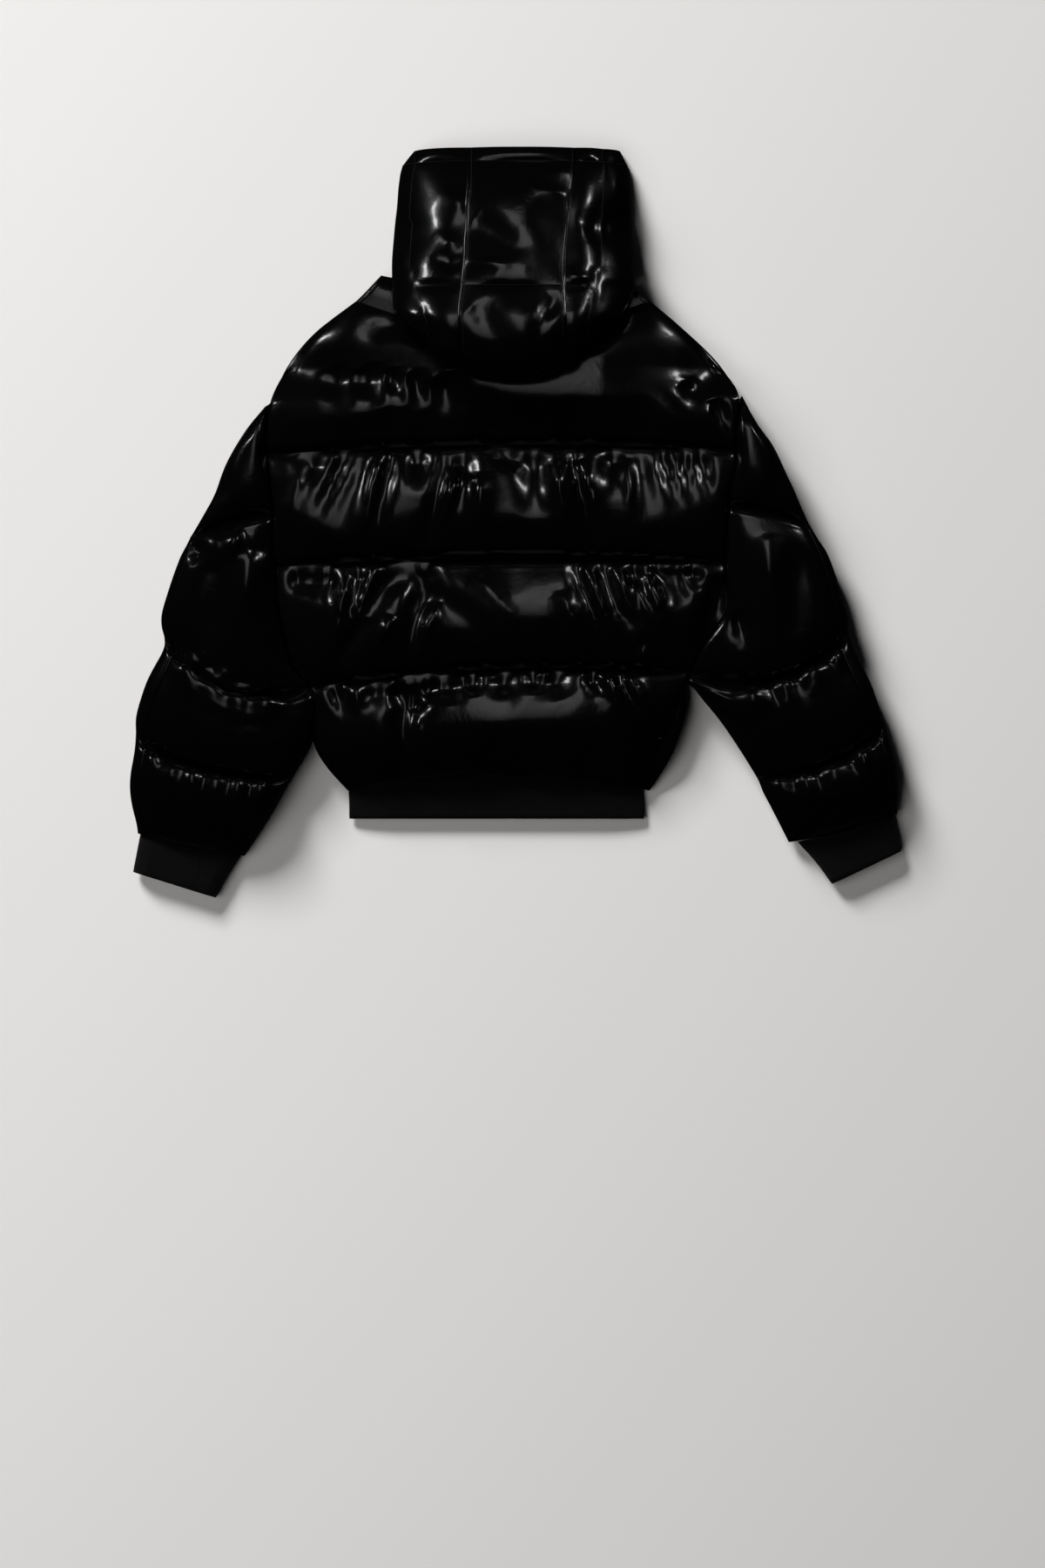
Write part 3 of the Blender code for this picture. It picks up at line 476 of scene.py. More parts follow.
def front_rows():
    rows = body_rows()
    for row, section in zip(rows, BODY):
        row["right"] = FRONT_WIDER_RIGHT.get(section.name, row["right"])
        row["quilted"] = row["quilted"] and section.name != "back_neck"
    neck = {key: value for key, value in FRONT_NECK._asdict().items() if key != "name"}
    return rows + [neck]


def sleeve_rows(table, on_left):
    """A sleeve's sections, sewn to the body down to the armpit and free below it."""
    seam_points = {row.name: (row.left if on_left else row.right) for row in BODY}
    offset = -SLEEVE_OFFSET if on_left else SLEEVE_OFFSET
    rows = []
    for row in table:
        sewn = isinstance(row.inner, str)
        inner = seam_points[row.inner] if sewn else row.inner
        if sewn:
            inner = (inner[0] + offset, inner[1])
        hold = H if sewn and row.inner != "waist" else 0
        rows.append({
            "left": row.outer if on_left else inner, "right": inner if on_left else row.outer,
            "bow": row.bow, "crest": row.crest, "mid": row.mid,
            "hold_left": 0 if on_left else hold, "hold_right": hold if on_left else 0,
            "quilted": row.quilted})
    return rows


# %% Points on a flattened ring
STITCH_DIP = 0.030                   # how far a quilt line pulls the upper cloth down
EDGE_DIP = 0.6                       # share of that dip at a seam with another piece
FULL_DIP_CREST, DIP_POWER = 0.070, 1.5   # a puff lower than this has a shallower dip
UNDER_DIP, UNDER_PUFF = 0.004, 0.75  # the lower cloth's dip, and the puff above which it has none
EDGE_WALL = 0.009                    # thickness of a piece at a free edge
HALF_SLIT = 0.0015                   # half the space between the upper and the lower wall
SQUARENESS = 2.5                     # 2 is an ellipse, and more is squarer
FLAT_UNDERSIDE = 1.25                # how wide the flat underside is
SEAM_GAP = 0.0003
BODY_FLATNESS, SLEEVE_FLATNESS, RIB_FLATNESS = 0.13, 0.35, 0.05     # height as a share of half width
ZIP_MIDDLE_X, ZIP_HALF_OPENING = 0.0, 0.008
STRAIGHT_NEAR_ZIP = 0.020            # a front's edge is straight this near to the zip
EDGE = 1e-5                          # a turn too small to see, which keeps two edges apart


def superellipse(angle):
    """Across (-1 to 1) and rise (0 to 1) of a flattened ring."""
    power = 2 / SQUARENESS
    c, s = np.cos(angle), np.sin(angle)
    return np.sign(c) * abs(c) ** power, abs(s) ** power


def even_angles(start, end, count, flatness=BODY_FLATNESS):
    """Angles from start to end whose points are evenly spaced along a flattened ring."""
    fine = np.linspace(start, end, 2000)
    across, rise = superellipse(fine)
    side = np.where(np.sin(fine) >= 0, 1, -1)
    length = np.concatenate([[0], np.cumsum(np.hypot(np.diff(across), flatness * np.diff(side * rise)))])
    return np.interp(np.linspace(0, length[-1], count), length, fine)


def bowed_plan(left, right, width, across, bow):
    """Places across a piece, whose middle bows towards the hood."""
    direction = right - left
    along = np.stack([-direction[..., 1], direction[..., 0]], axis=2) / width[..., None]
    return left + direction * ((1 + across) / 2)[..., None] + along * (bow * (1 - across**2))[..., None]


def ring_points(dense, angles, inside=False):
    """Points of a padded wall, an array of rows along the piece by columns across it."""
    angles = np.atleast_2d(angles)
    across, rise = superellipse(angles)
    column = {key: dense[key][:, None] for key in
              ("bow", "crest", "mid", "hold_left", "hold_right", "puff")}
    left, right = dense["left"][:, None, :], dense["right"][:, None, :]
    width = np.linalg.norm(right - left, axis=2)
    hold = column["hold_left"] + (column["hold_right"] - column["hold_left"]) * (1 + across) / 2
    hold = np.clip(hold, 0, H)
    puff, mid = column["puff"], column["mid"]
    top = np.sin(angles) >= 0
    dip = STITCH_DIP * (EDGE_DIP + (1 - EDGE_DIP) * rise**2)
    shallow = np.minimum(1, column["crest"] / FULL_DIP_CREST) ** DIP_POWER
    crest = column["crest"] - dip * (1 - puff) * shallow
    height = np.where(top, crest - mid, mid - SEAM_GAP / 2)
    widen = np.where(top, 1.0, FLAT_UNDERSIDE)
    lift = height * np.minimum(1, widen * (hold + (1 - hold) * rise))
    lift = lift - np.where(top, 0, UNDER_DIP * np.maximum(0, 1 - puff / UNDER_PUFF) * rise)
    if inside:
        wall = np.minimum(EDGE_WALL, 0.3 * width) * (1 - hold / H)
        across = across * (1 - 2 * wall / width)
        held = height * np.minimum(1, widen * hold)
        lift = np.minimum(HALF_SLIT, 0.2 * height) + np.maximum(0, held - EDGE_WALL) * (1 - rise)
    plan = bowed_plan(left, right, width, across, column["bow"])
    z = mid + np.where(top, 1, -1) * (SEAM_GAP / 2 + np.maximum(0, lift))
    return np.concatenate([plan, z[..., None]], axis=2)


def front_points(dense, angles, inside=False):
    """Points of a front, whose edge at the zip is straight."""
    points = ring_points(dense, angles, inside)
    across, _ = superellipse(np.atleast_2d(angles))
    left, right = dense["left"][:, :1], dense["right"][:, :1]
    straight = left + (right - left) * (1 + across) / 2
    near = abs(points[..., 0] - ZIP_MIDDLE_X) < STRAIGHT_NEAR_ZIP
    points[..., 0] = np.where(near, straight, points[..., 0])
    return points


def turn_to(x, left, right):
    """The angle, from 0 to pi, at which a ring passes over x."""
    across = np.clip(2 * (x - left) / (right - left) - 1, -1, 1)
    return np.arccos(np.copysign(abs(across) ** (SQUARENESS / 2), across))


def front_angles(dense, side, count):
    """A front's angles, row by row, so that its columns run clockwise seen from the hem."""
    outer = math.pi + EDGE if side < 0 else math.tau - EDGE
    edge = math.tau - turn_to(ZIP_MIDDLE_X + side * ZIP_HALF_OPENING,
                              dense["left"][:, 0], dense["right"][:, 0])
    even = even_angles(outer, 1.5 * math.pi, count)
    share = (even - even[0]) / (even[-1] - even[0])
    angles = outer + (edge[:, None] - outer) * share[None, :]
    return angles[:, ::-1] if side < 0 else angles


# %% Points on the hood
HOOD_WALL = 0.019
HOOD_CROWN = 0.0042                  # how far a panel swells between its seams
HOOD_QUILT_DIP = 0.007
HOOD_SEAM_GAP = 0.004                # between two panels, as an angle


def hood_points(dense, angles, crown, inside=False):
    """Points of the hood's wall. crown swells the outer cloth between two seams."""
    across, rise = superellipse(angles)
    column = {key: dense[key][:, None] for key in
              ("foot_y", "foot_z", "lean", "height", "left", "right", "puff")}
    centre = (column["left"] + column["right"]) / 2
    half = (column["right"] - column["left"]) / 2
    grow = -HOOD_WALL if inside else crown - HOOD_QUILT_DIP * (1 - column["puff"]) * crown_share(crown)
    lean = np.radians(column["lean"])
    up = (column["height"] + grow) * rise
    edge = grow if inside else 0.0
    return np.stack([centre + (half + edge) * across,
                     column["foot_y"] - up * np.sin(lean),
                     column["foot_z"] + up * np.cos(lean)], axis=2)


def crown_share(crown):
    """How fully a quilt line across a panel dips, so that it fades into the seams."""
    return np.clip(crown / HOOD_CROWN, 0, 1) if np.ndim(crown) else 1.0


def hood_angles(dense, start, end, count):
    """A panel's angles, row by row, from its left seam to its right one."""
    share = np.linspace(0, 1, count)
    return end[:, None] + (start - end)[:, None] * share[None, :]


# %% [markdown]
# ## Folds placed one by one
# The thread pulls each quilt line a little shorter than the cloth beside it, so the cloth
# gathers there in short folds that lean away from the middle. Each table row is one fold: its
# route on the plan in millimetres (x, y, x, y and so on), its height (below 0 for a valley) and its
# half width.

# %% Fold helpers
RIDGE_ROUNDING, RIDGE_STEEPNESS = 0.0012, 1.2
GATHER_START = 0.012                 # from a quilt line to where its gathers are full
LEAST_HALF_WIDTH = 0.009             # of a fold in the simulated mesh


def normals(points):
    """Outward normals of a grid of points."""
    across = np.gradient(points, axis=1)
    along = np.gradient(points, axis=0)
    normal = np.cross(across, along)
    normal /= np.linalg.norm(normal, axis=2, keepdims=True) + 1e-12
    return normal


def fold_field(points, folds, least=0.0):
    """How far each point moves along its normal, for a table of folds. A valley is round at its
    bottom, and a ridge has a sharp crest. least is the smallest half width that the mesh holds."""
    total = np.zeros(points.shape[:2])
    plan = points[..., :2]
    for route, height, half_width in folds:
        route = np.array(route, float).reshape(-1, 2) / 1000
        half_width = max(half_width, least)
        lengths = np.linalg.norm(np.diff(route, axis=0), axis=1)
        whole = lengths.sum()
        near = np.full(plan.shape[:2], np.inf)
        where = np.zeros(plan.shape[:2])
        passed = 0.0
        for a, b, length in zip(route, route[1:], lengths):
            t = np.clip(((plan - a) @ (b - a)) / length**2, 0, 1)
            distance = np.linalg.norm(plan - (a + t[..., None] * (b - a)), axis=2)
            closer = distance < near
            near = np.where(closer, distance, near)
            where = np.where(closer, (passed + t * length) / whole, where)
            passed += length
        fade = np.clip(4 * where, 0, 1) ** 0.5 * np.clip(1.6 * (1 - where), 0, 1)
        profile = (np.exp(-((near / half_width) ** 2)) if height < 0 else
                   np.exp(-(np.sqrt(near**2 + RIDGE_ROUNDING**2) - RIDGE_ROUNDING)
                          / half_width * RIDGE_STEEPNESS))
        total += height * fade * profile
    return total


def ripple(at, spacing, seed):
    """A smooth random curve between -1 and 1, with a knot every spacing metres."""
    knots = np.random.RandomState(seed).uniform(-1, 1, 400)
    place = at / spacing + 200
    index = np.floor(place).astype(int)
    t = place - index
    t = t * t * (3 - 2 * t)
    return knots[index] * (1 - t) + knots[index + 1] * t


def gathers(dense, points, seed, height=0.0012, reach=0.040, spacing=0.038, lean=0.5):
    """Short folds square to each quilt line. Each has a round valley and a sharp crest, and they
    fade away from the line."""
    total = np.zeros(points.shape[:2])
    station = dense["station"][:, None]
    steps = np.linalg.norm(np.diff(points, axis=1), axis=2)
    along = np.concatenate([np.zeros((len(points), 1)), np.cumsum(steps, axis=1)], axis=1)
    along -= along[:, -1:] / 2
    for number, line in enumerate(dense["lines"]):
        away = station - dense["station"][line]
        x = along + lean * abs(away) * np.sign(along)
        short, long = ripple(x, spacing, seed + number), ripple(x, 2.1 * spacing, seed + 50 + number)
        waves = 0.5 - abs(short) + 0.6 * long
        total += (height * waves * np.exp(-(away / reach) ** 2)
                  * np.minimum(1, abs(away) / GATHER_START))
    return total


# %% [markdown]
# ## Letting the cloth settle
# A grid of the outer cloth is pinned along its seams and quilt lines, its threads are made a
# little longer than the space that they have, and a gentle pressure stands for the filling. In
# about twenty steps the spare cloth buckles into puckers, as it does in the sewn jacket.

# %% Simulation
SIM_FRAMES = 20
CLOTH = {"quality": 5, "mass": 0.15, "use_pressure": True, "vertex_group_mass": "pinned",
         "pin_stiffness": 50, "tension_stiffness": 40, "compression_stiffness": 40,
         "shear_stiffness": 20, "bending_stiffness": 12.0, "air_damping": 2}


def grid_object(name, points):
    """A temporary open grid with the given points."""
    bm = bmesh.new()
    bmesh.ops.create_grid(bm, x_segments=points.shape[1] - 1, y_segments=points.shape[0] - 1, size=0.5)
    obj = new_object(name, bm)
    obj.data.vertices.foreach_set("co", points.reshape(-1).astype(np.float32))
    obj.data.update()
    return obj


def soften(move, pinned, passes):
    """Even out a move between neighbours, so that only the broader buckles stay."""
    for _ in range(passes):
        for axis in (0, 1):
            values = np.moveaxis(move, axis, 0)
            padded = np.concatenate([values[:1], values, values[-1:]])
            move = np.moveaxis((padded[:-2] + 2 * values + padded[2:]) / 4, 0, axis)
        move[pinned] = 0
    return move


def settle(panels):
    """Simulate every panel at once. Each has points, pinned (a mask), spare, pressure, cap."""
    scene = bpy.context.scene
    made = {}
    for name, panel in panels.items():
        obj = grid_object("sim_" + name, panel["points"])
        group = obj.vertex_groups.new(name="pinned")
        group.add([int(i) for i in np.flatnonzero(panel["pinned"].reshape(-1))], 1.0, "REPLACE")
        modifier = obj.modifiers.new("Cloth", "CLOTH")
        cloth = modifier.settings
        for key, value in CLOTH.items():
            setattr(cloth, key, value)
        cloth.effector_weights.gravity = 0
        cloth.uniform_pressure_force = panel["pressure"]
        cloth.shrink_min = -panel["spare"]
        modifier.collision_settings.use_collision = False
        modifier.collision_settings.use_self_collision = False
        modifier.point_cache.frame_start = 1
        modifier.point_cache.frame_end = SIM_FRAMES
        made[name] = obj
    scene.frame_start, scene.frame_end = 1, SIM_FRAMES
    for number in range(1, SIM_FRAMES + 1):
        scene.frame_set(number)
    depsgraph = bpy.context.evaluated_depsgraph_get()
    settled = {}
    for name, obj in made.items():
        panel = panels[name]
        mesh = obj.evaluated_get(depsgraph).data
        flat = np.empty(len(mesh.vertices) * 3, np.float32)
        mesh.vertices.foreach_get("co", flat)
        moved = flat.reshape(panel["points"].shape).astype(float) - panel["points"]
        far = np.linalg.norm(moved, axis=2, keepdims=True)
        moved *= np.minimum(1, panel["cap"] / np.maximum(far, 1e-9))
        settled[name] = panel["points"] + soften(moved, panel["pinned"], panel["passes"])
        print(name, "moved at most", round(float(far.max()) * 1000, 1), "mm")
    for obj in made.values():
        bpy.data.objects.remove(obj)
    scene.frame_set(1)
    return settled


def refine(points, lines=()):
    """Twice as many points each way, on a surface through the old ones that is smooth but for a
    crease along each row in lines."""
    for axis in (0, 1):
        values = np.moveaxis(points, axis, 0)
        padded = np.concatenate([2 * values[:1] - values[1:2], values, 2 * values[-1:] - values[-2:-1]])
        between = (9 * (padded[1:-2] + padded[2:-1]) - padded[:-3] - padded[3:]) / 16
        for row in lines if axis == 0 else ():
            if row + 2 < len(values):
                between[row] = (3 * values[row] + 6 * values[row + 1] - values[row + 2]) / 8
            if row >= 2:
                between[row - 1] = (3 * values[row] + 6 * values[row - 1] - values[row - 2]) / 8
        finer = np.empty((2 * len(values) - 1,) + values.shape[1:])
        finer[0::2], finer[1::2] = values, between
        points = np.moveaxis(finer, 0, axis)
    return points


# %% Closed padded pieces


def move_grid(verts, points):
    """Place the vertices of a new grid, which run across and then along."""
    flat = points.reshape(-1, 3) + TO_FRAME
    for vert, place in zip(verts, flat):
        vert.co = place


def rim(bm, verts):
    """The open edges round a grid's vertices."""
    own = set(verts)
    return [edge for edge in bm.edges if len(edge.link_faces) == 1 and edge.verts[0] in own]


def finish_mesh(name, bm, material, smooth=True):
    """Turn a bmesh into a finished piece of the jacket's body."""
    bmesh.ops.recalc_face_normals(bm, faces=bm.faces[:])
    obj = new_object(name, bm, material)
    if smooth:
        obj.data.shade_smooth()
    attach(obj, BODY_NAME)
    print(name, len(obj.data.polygons), "faces")
    return obj


def closed_wall(name, outer, inner, material, lines=()):
    """A closed wall between a fine grid of outer cloth and a coarser grid of inner cloth. The
    outer cloth has a sharp crease along each row in lines."""
    bm = bmesh.new()
    grids = []
    for points in (outer, inner):
        made = bmesh.ops.create_grid(bm, x_segments=points.shape[1] - 1,
                                     y_segments=points.shape[0] - 1, size=0.5)
        grids.append(made["verts"])
        move_grid(grids[-1], points)
    bmesh.ops.bridge_loops(bm, edges=rim(bm, grids[0]) + rim(bm, grids[1]))
    width = outer.shape[1]
    for row in lines:
        along = grids[0][row * width:(row + 1) * width]
        for first, second in zip(along, along[1:]):
            bm.edges.get((first, second)).smooth = False
    return finish_mesh(name, bm, material)


# %% [markdown]
# ## The back
# One padded piece from the neck to the hem, sewn through in three lines.

# %% Folds of the back
VALLEY, RIDGE = -0.0060, 0.0055
NARROW, BROAD = 0.0100, 0.018
BACK_FOLDS = [
    # between the first and the second quilt line, valleys from left to right
    ((-221, 455, -258, 385), VALLEY, BROAD),
    ((-186, 458, -225, 370), VALLEY, NARROW),
    ((-156, 460, -200, 345), VALLEY, BROAD),
    ((-128, 462, -150, 365, -155, 340), VALLEY, NARROW),
    ((-100, 462, -97, 400), 1.4 * VALLEY, BROAD),
    ((-66, 463, -74, 400, -87, 330), VALLEY, NARROW),
    ((-44, 460, -47, 380), 1.4 * VALLEY, BROAD),
    ((12, 460, 5, 430), VALLEY, BROAD),
    ((44, 460, 46, 372), 1.5 * VALLEY, BROAD),
    ((92, 462, 104, 400, 121, 330), 1.2 * VALLEY, NARROW),
    ((138, 462, 150, 395), 1.2 * VALLEY, BROAD),
    ((172, 462, 182, 372), VALLEY, BROAD),
    ((200, 460, 222, 380), VALLEY, NARROW),
    ((226, 460, 240, 385), VALLEY, NARROW),
    ((247, 458, 262, 390), VALLEY, NARROW),
    # and ridges
    ((-141, 462, -161, 377, -164, 345), RIDGE, NARROW),
    ((-51, 432, -75, 351), 1.3 * RIDGE, NARROW),
    ((-21, 425, -24, 350), 1.3 * RIDGE, 0.016),
    ((70, 440, 84, 352), 1.2 * RIDGE, 0.013),
    ((101, 446, 126, 356), RIDGE, NARROW),
    ((157, 446, 165, 367), RIDGE, NARROW),
    ((-240, 440, -262, 360), RIDGE, BROAD),
    # between the second and the third, left half
    ((-245, 310, -250, 275), VALLEY, NARROW),
    ((-226, 310, -233, 270), VALLEY, NARROW),
    ((-206, 312, -216, 262), VALLEY, NARROW),
    ((-181, 300, -202, 218), RIDGE, NARROW),
    ((-168, 314, -190, 240), VALLEY, NARROW),
    ((-151, 314, -183, 228), 1.2 * RIDGE, NARROW),
    ((-101, 316, -137, 292, -160, 262, -178, 228), 1.2 * VALLEY, BROAD),
    ((-128, 250, -160, 204), RIDGE, NARROW),
    ((-165, 250, -198, 192, -210, 166), VALLEY, NARROW),
    ((-87, 320, -98, 250, -114, 180), 2.0 * VALLEY, BROAD),
    ((-74, 270, -104, 187), 1.5 * RIDGE, NARROW),
    # and right half
    ((-85, 290, -66, 265, -45, 253, -12, 228), VALLEY, BROAD),
    ((-30, 300, 10, 262, 30, 240), 0.6 * RIDGE, BROAD),
    ((76, 280, 115, 198), RIDGE, BROAD),
    ((92, 320, 122, 240, 132, 215), VALLEY, NARROW),
    ((106, 315, 146, 213), 1.2 * RIDGE, NARROW),
    ((127, 318, 145, 259, 171, 230), 1.2 * VALLEY, NARROW),
    ((144, 312, 163, 249), RIDGE, NARROW),
    ((160, 316, 177, 286, 180, 262), VALLEY, NARROW),
    ((183, 300, 208, 234), RIDGE, NARROW),
    ((192, 316, 222, 259), VALLEY, NARROW),
    ((213, 314, 232, 262), VALLEY, NARROW),
    ((236, 314, 246, 280), VALLEY, NARROW),
    ((276, 298, 270, 262, 240, 200), 1.5 * VALLEY, BROAD),
    ((173, 212, 192, 183), RIDGE, NARROW),
    # below the third
    ((-204, 166, -182, 123), VALLEY, NARROW),
    ((-176, 166, -172, 128), RIDGE, BROAD),
    ((-156, 168, -146, 130), VALLEY, BROAD),
    ((-126, 168, -128, 140), VALLEY, NARROW),
    ((-109, 178, -112, 110, -105, 50), 2.2 * VALLEY, BROAD),
    ((-101, 140, -100, 90, -96, 52), 1.2 * RIDGE, NARROW),
    ((-86, 178, -84, 142), VALLEY, NARROW),
    ((-58, 180, -64, 140), 1.2 * VALLEY, BROAD),
    ((-32, 182, -30, 152), VALLEY, NARROW),
    ((4, 184, 12, 150), VALLEY, BROAD),
    ((40, 184, 48, 156), VALLEY, NARROW),
    ((66, 184, 82, 150), VALLEY, BROAD),
    ((112, 184, 128, 150), VALLEY, NARROW),
    ((134, 178, 152, 138), RIDGE, NARROW),
    ((159, 178, 200, 113), 1.4 * RIDGE, NARROW),
    ((148, 182, 186, 112), VALLEY, NARROW),
    ((198, 118, 180, 45), 1.4 * VALLEY, BROAD),
    # above the first: folds of the yoke, and pinches into the line
    ((-205, 560, -188, 505), VALLEY, BROAD),
    ((-166, 560, -152, 505), 1.2 * VALLEY, BROAD),
    ((-134, 556, -120, 508), VALLEY, NARROW),
    ((-104, 552, -94, 505), VALLEY, NARROW),
    ((-70, 545, -50, 500), VALLEY, BROAD),
    ((-10, 465, -20, 495, -32, 520), 0.7 * VALLEY, NARROW),
    ((-10, 465, 2, 500), 0.6 * VALLEY, NARROW),
    ((84, 466, 82, 492), 0.6 * VALLEY, NARROW),
    ((268, 520, 286, 470), VALLEY, NARROW),
    ((235, 545, 262, 505), 0.7 * VALLEY, BROAD),
    ((-300, 545, -210, 556, -60, 560), 1.5 * VALLEY, 0.040),
    ((310, 540, 240, 556, 130, 562), 1.5 * VALLEY, 0.040),
]


# %% Sharp creases of the back
CREASE, THIN = 0.0030, 0.0050
BACK_CREASES = [
    ((-46, 437, -60, 395, -79, 343), 1.2 * CREASE, THIN),
    ((-149, 455, -160, 400, -165, 347), CREASE, THIN),
    ((99, 443, 112, 400, 129, 359), CREASE, THIN),
    ((-83, 268, -94, 222, -108, 182), 1.4 * CREASE, THIN),
    ((-110, 175, -111, 110, -105, 50), 1.3 * CREASE, THIN),
    ((160, 180, 180, 142, 201, 110), 1.2 * CREASE, THIN),
    ((166, 300, 180, 262, 206, 220), 0.8 * CREASE, THIN),
    ((-104, 102, -70, 76, -34, 57, 60, 50, 168, 45), 0.8 * CREASE, THIN),
    ((-186, 300, -196, 262, -204, 215), 0.8 * CREASE, THIN),
]
SHARP_CREASES = {"back": BACK_CREASES}

# %% Folds of the sleeves
SLEEVE_FOLDS_LEFT = [
    ((-346, 352, -352, 306), VALLEY, BROAD),
    ((-322, 356, -330, 318), VALLEY, NARROW),
    ((-372, 345, -378, 312), 1.2 * RIDGE, NARROW),
    ((-428, 86, -424, 44), VALLEY, NARROW),
    ((-402, 72, -402, 26), VALLEY, BROAD),
    ((-375, 66, -380, 16), VALLEY, NARROW),
    ((-346, 60, -354, 14), VALLEY, BROAD),
    ((-316, 56, -328, 10), VALLEY, NARROW),
    ((-289, 50, -303, 14), VALLEY, NARROW),
    ((-415, 225, -395, 186), RIDGE, NARROW),
    ((-384, 205, -378, 145), 1.2 * VALLEY, BROAD),
    ((-350, 186, -350, 130), 1.3 * VALLEY, BROAD),
    ((-318, 168, -322, 118), 1.2 * VALLEY, BROAD),
    ((-284, 158, -292, 116), 1.2 * VALLEY, BROAD),
    ((-300, 330, -318, 260, -330, 215), VALLEY, BROAD),
]
SLEEVE_FOLDS_RIGHT = [
    ((418, 222, 426, 178), VALLEY, NARROW),
    ((385, 196, 392, 150), VALLEY, BROAD),
    ((348, 180, 360, 134), VALLEY, NARROW),
    ((310, 166, 324, 124), VALLEY, BROAD),
    ((446, 92, 458, 42), VALLEY, NARROW),
    ((408, 74, 420, 26), VALLEY, BROAD),
    ((375, 62, 388, 14), VALLEY, NARROW),
    ((343, 56, 360, 10), VALLEY, BROAD),
    ((292, 256, 308, 212), 1.3 * RIDGE, NARROW),
    ((330, 350, 336, 290, 350, 230), VALLEY, BROAD),
]

# %% Folds of the hood
HOOD_FOLDS = [
    ((-38, 752, -78, 773), 0.45 * RIDGE, BROAD),
    ((-48, 699, -78, 722), 0.45 * RIDGE, NARROW),
    ((-50, 678, -80, 692), 0.5 * VALLEY, NARROW),
    ((-48, 685, 8, 676, -3, 666, -50, 658), 0.45 * RIDGE, NARROW),
    ((90, 799, 53, 798, 30, 785), 0.45 * RIDGE, NARROW),
    ((93, 765, 53, 773, 30, 784), 0.45 * RIDGE, NARROW),
    ((107, 720, 150, 742, 164, 766), 0.5 * VALLEY, BROAD),
    ((79, 667, 104, 660, 118, 650, 116, 620), 0.45 * RIDGE, NARROW),
    ((-82, 582, -43, 571, -24, 550), 0.45 * RIDGE, NARROW),
    ((-30, 735, 20, 700, 70, 705), 0.5 * VALLEY, BROAD),
    ((-30, 625, 0, 590, 10, 560), 0.5 * VALLEY, BROAD),
    ((72, 640, 50, 600, 45, 570), 0.5 * VALLEY, NARROW),
]
# each side panel's lengthwise quilt line, as (x, y) on the plan
HOOD_LINE_LEFT = ((-0.103, 0.833), (-0.111, 0.690), (-0.083, 0.582), (-0.059, 0.542))
HOOD_LINE_RIGHT = ((0.130, 0.833), (0.127, 0.708), (0.119, 0.654), (0.107, 0.584), (0.095, 0.542))

# %% Panels for the simulation
panels = {}
inners = {}
denses = {}
folds = {}
LEAST_INNER_Z = 0.0004               # the inner cloth stays above the surface that the jacket lies on


def plan_panel(name, dense, make, angles, table=(), seed=1, spare=0.009, pressure=0.5, cap=0.004,
               passes=2, lengthwise=()):
    """Work out one piece's start shape, its pins and its inner cloth. make(dense, angles, inside)
    places the points, and lengthwise holds the columns, row by row, of lines along the piece."""
    angles = np.broadcast_to(np.atleast_2d(angles), (len(dense["station"]), np.shape(angles)[-1]))
    points = make(dense, angles, False)
    move = gathers(dense, points, seed) + fold_field(points, table, least=LEAST_HALF_WIDTH)
    start = points + normals(points) * move[..., None]
    pinned = np.zeros(points.shape[:2], bool)
    pinned[dense["lines"]] = True
    pinned[0] = pinned[-1] = True
    pinned[:, 0] = pinned[:, -1] = True
    for columns in lengthwise:
        pinned[np.arange(len(points)), columns] = True
    start[pinned] = points[pinned]
    panels[name] = {"points": start, "pinned": pinned, "spare": spare, "pressure": pressure, "cap": cap,
                    "passes": passes}
    row_count = max(4, len(points) // 2)
    coarse_rows = np.unique(np.linspace(0, len(points) - 1, row_count).round().astype(int))
    coarse = {key: value[coarse_rows] for key, value in dense.items()
              if isinstance(value, np.ndarray)}
    columns = np.unique(np.linspace(0, angles.shape[1] - 1, max(4, angles.shape[1] // 2)).round()
                        .astype(int))
    inner = make(coarse, angles[np.ix_(coarse_rows, columns)], True)
    inner[..., 2] = np.maximum(inner[..., 2], LEAST_INNER_Z)
    inners[name] = inner
    denses[name] = dense
    folds[name] = table


SLEEVE_SEAM = math.radians(143)      # where the lengthwise seam runs, as a turn round the sleeve
SLEEVE_GAP = 0.012
BACK_COLUMNS, FRONT_COLUMNS, SLEEVE_BACK_COLUMNS, SLEEVE_FRONT_COLUMNS = 67, 35, 25, 33
SLEEVES = (                          # name, sections, folds, seed, the turns of its two pieces
    ("sleeve_left", SLEEVE_LEFT, SLEEVE_FOLDS_LEFT, 11,
     (0, SLEEVE_SEAM), (SLEEVE_SEAM + SLEEVE_GAP, math.tau - EDGE)),
    ("sleeve_right", SLEEVE_RIGHT, SLEEVE_FOLDS_RIGHT, 13,
     (math.pi - SLEEVE_SEAM, math.pi), (math.pi + EDGE, math.tau + math.pi - SLEEVE_SEAM - SLEEVE_GAP)),
)
plan_panel("back", dense_sections(body_rows()), ring_points,
           even_angles(0, math.pi, BACK_COLUMNS)[::-1], BACK_FOLDS, seed=3)
front_dense = dense_sections(front_rows())
for side, name in ((-1, "front_left"), (1, "front_right")):
    angles = front_angles(front_dense, side, FRONT_COLUMNS)
    plan_panel(name, front_dense, front_points, angles, seed=30 + side)
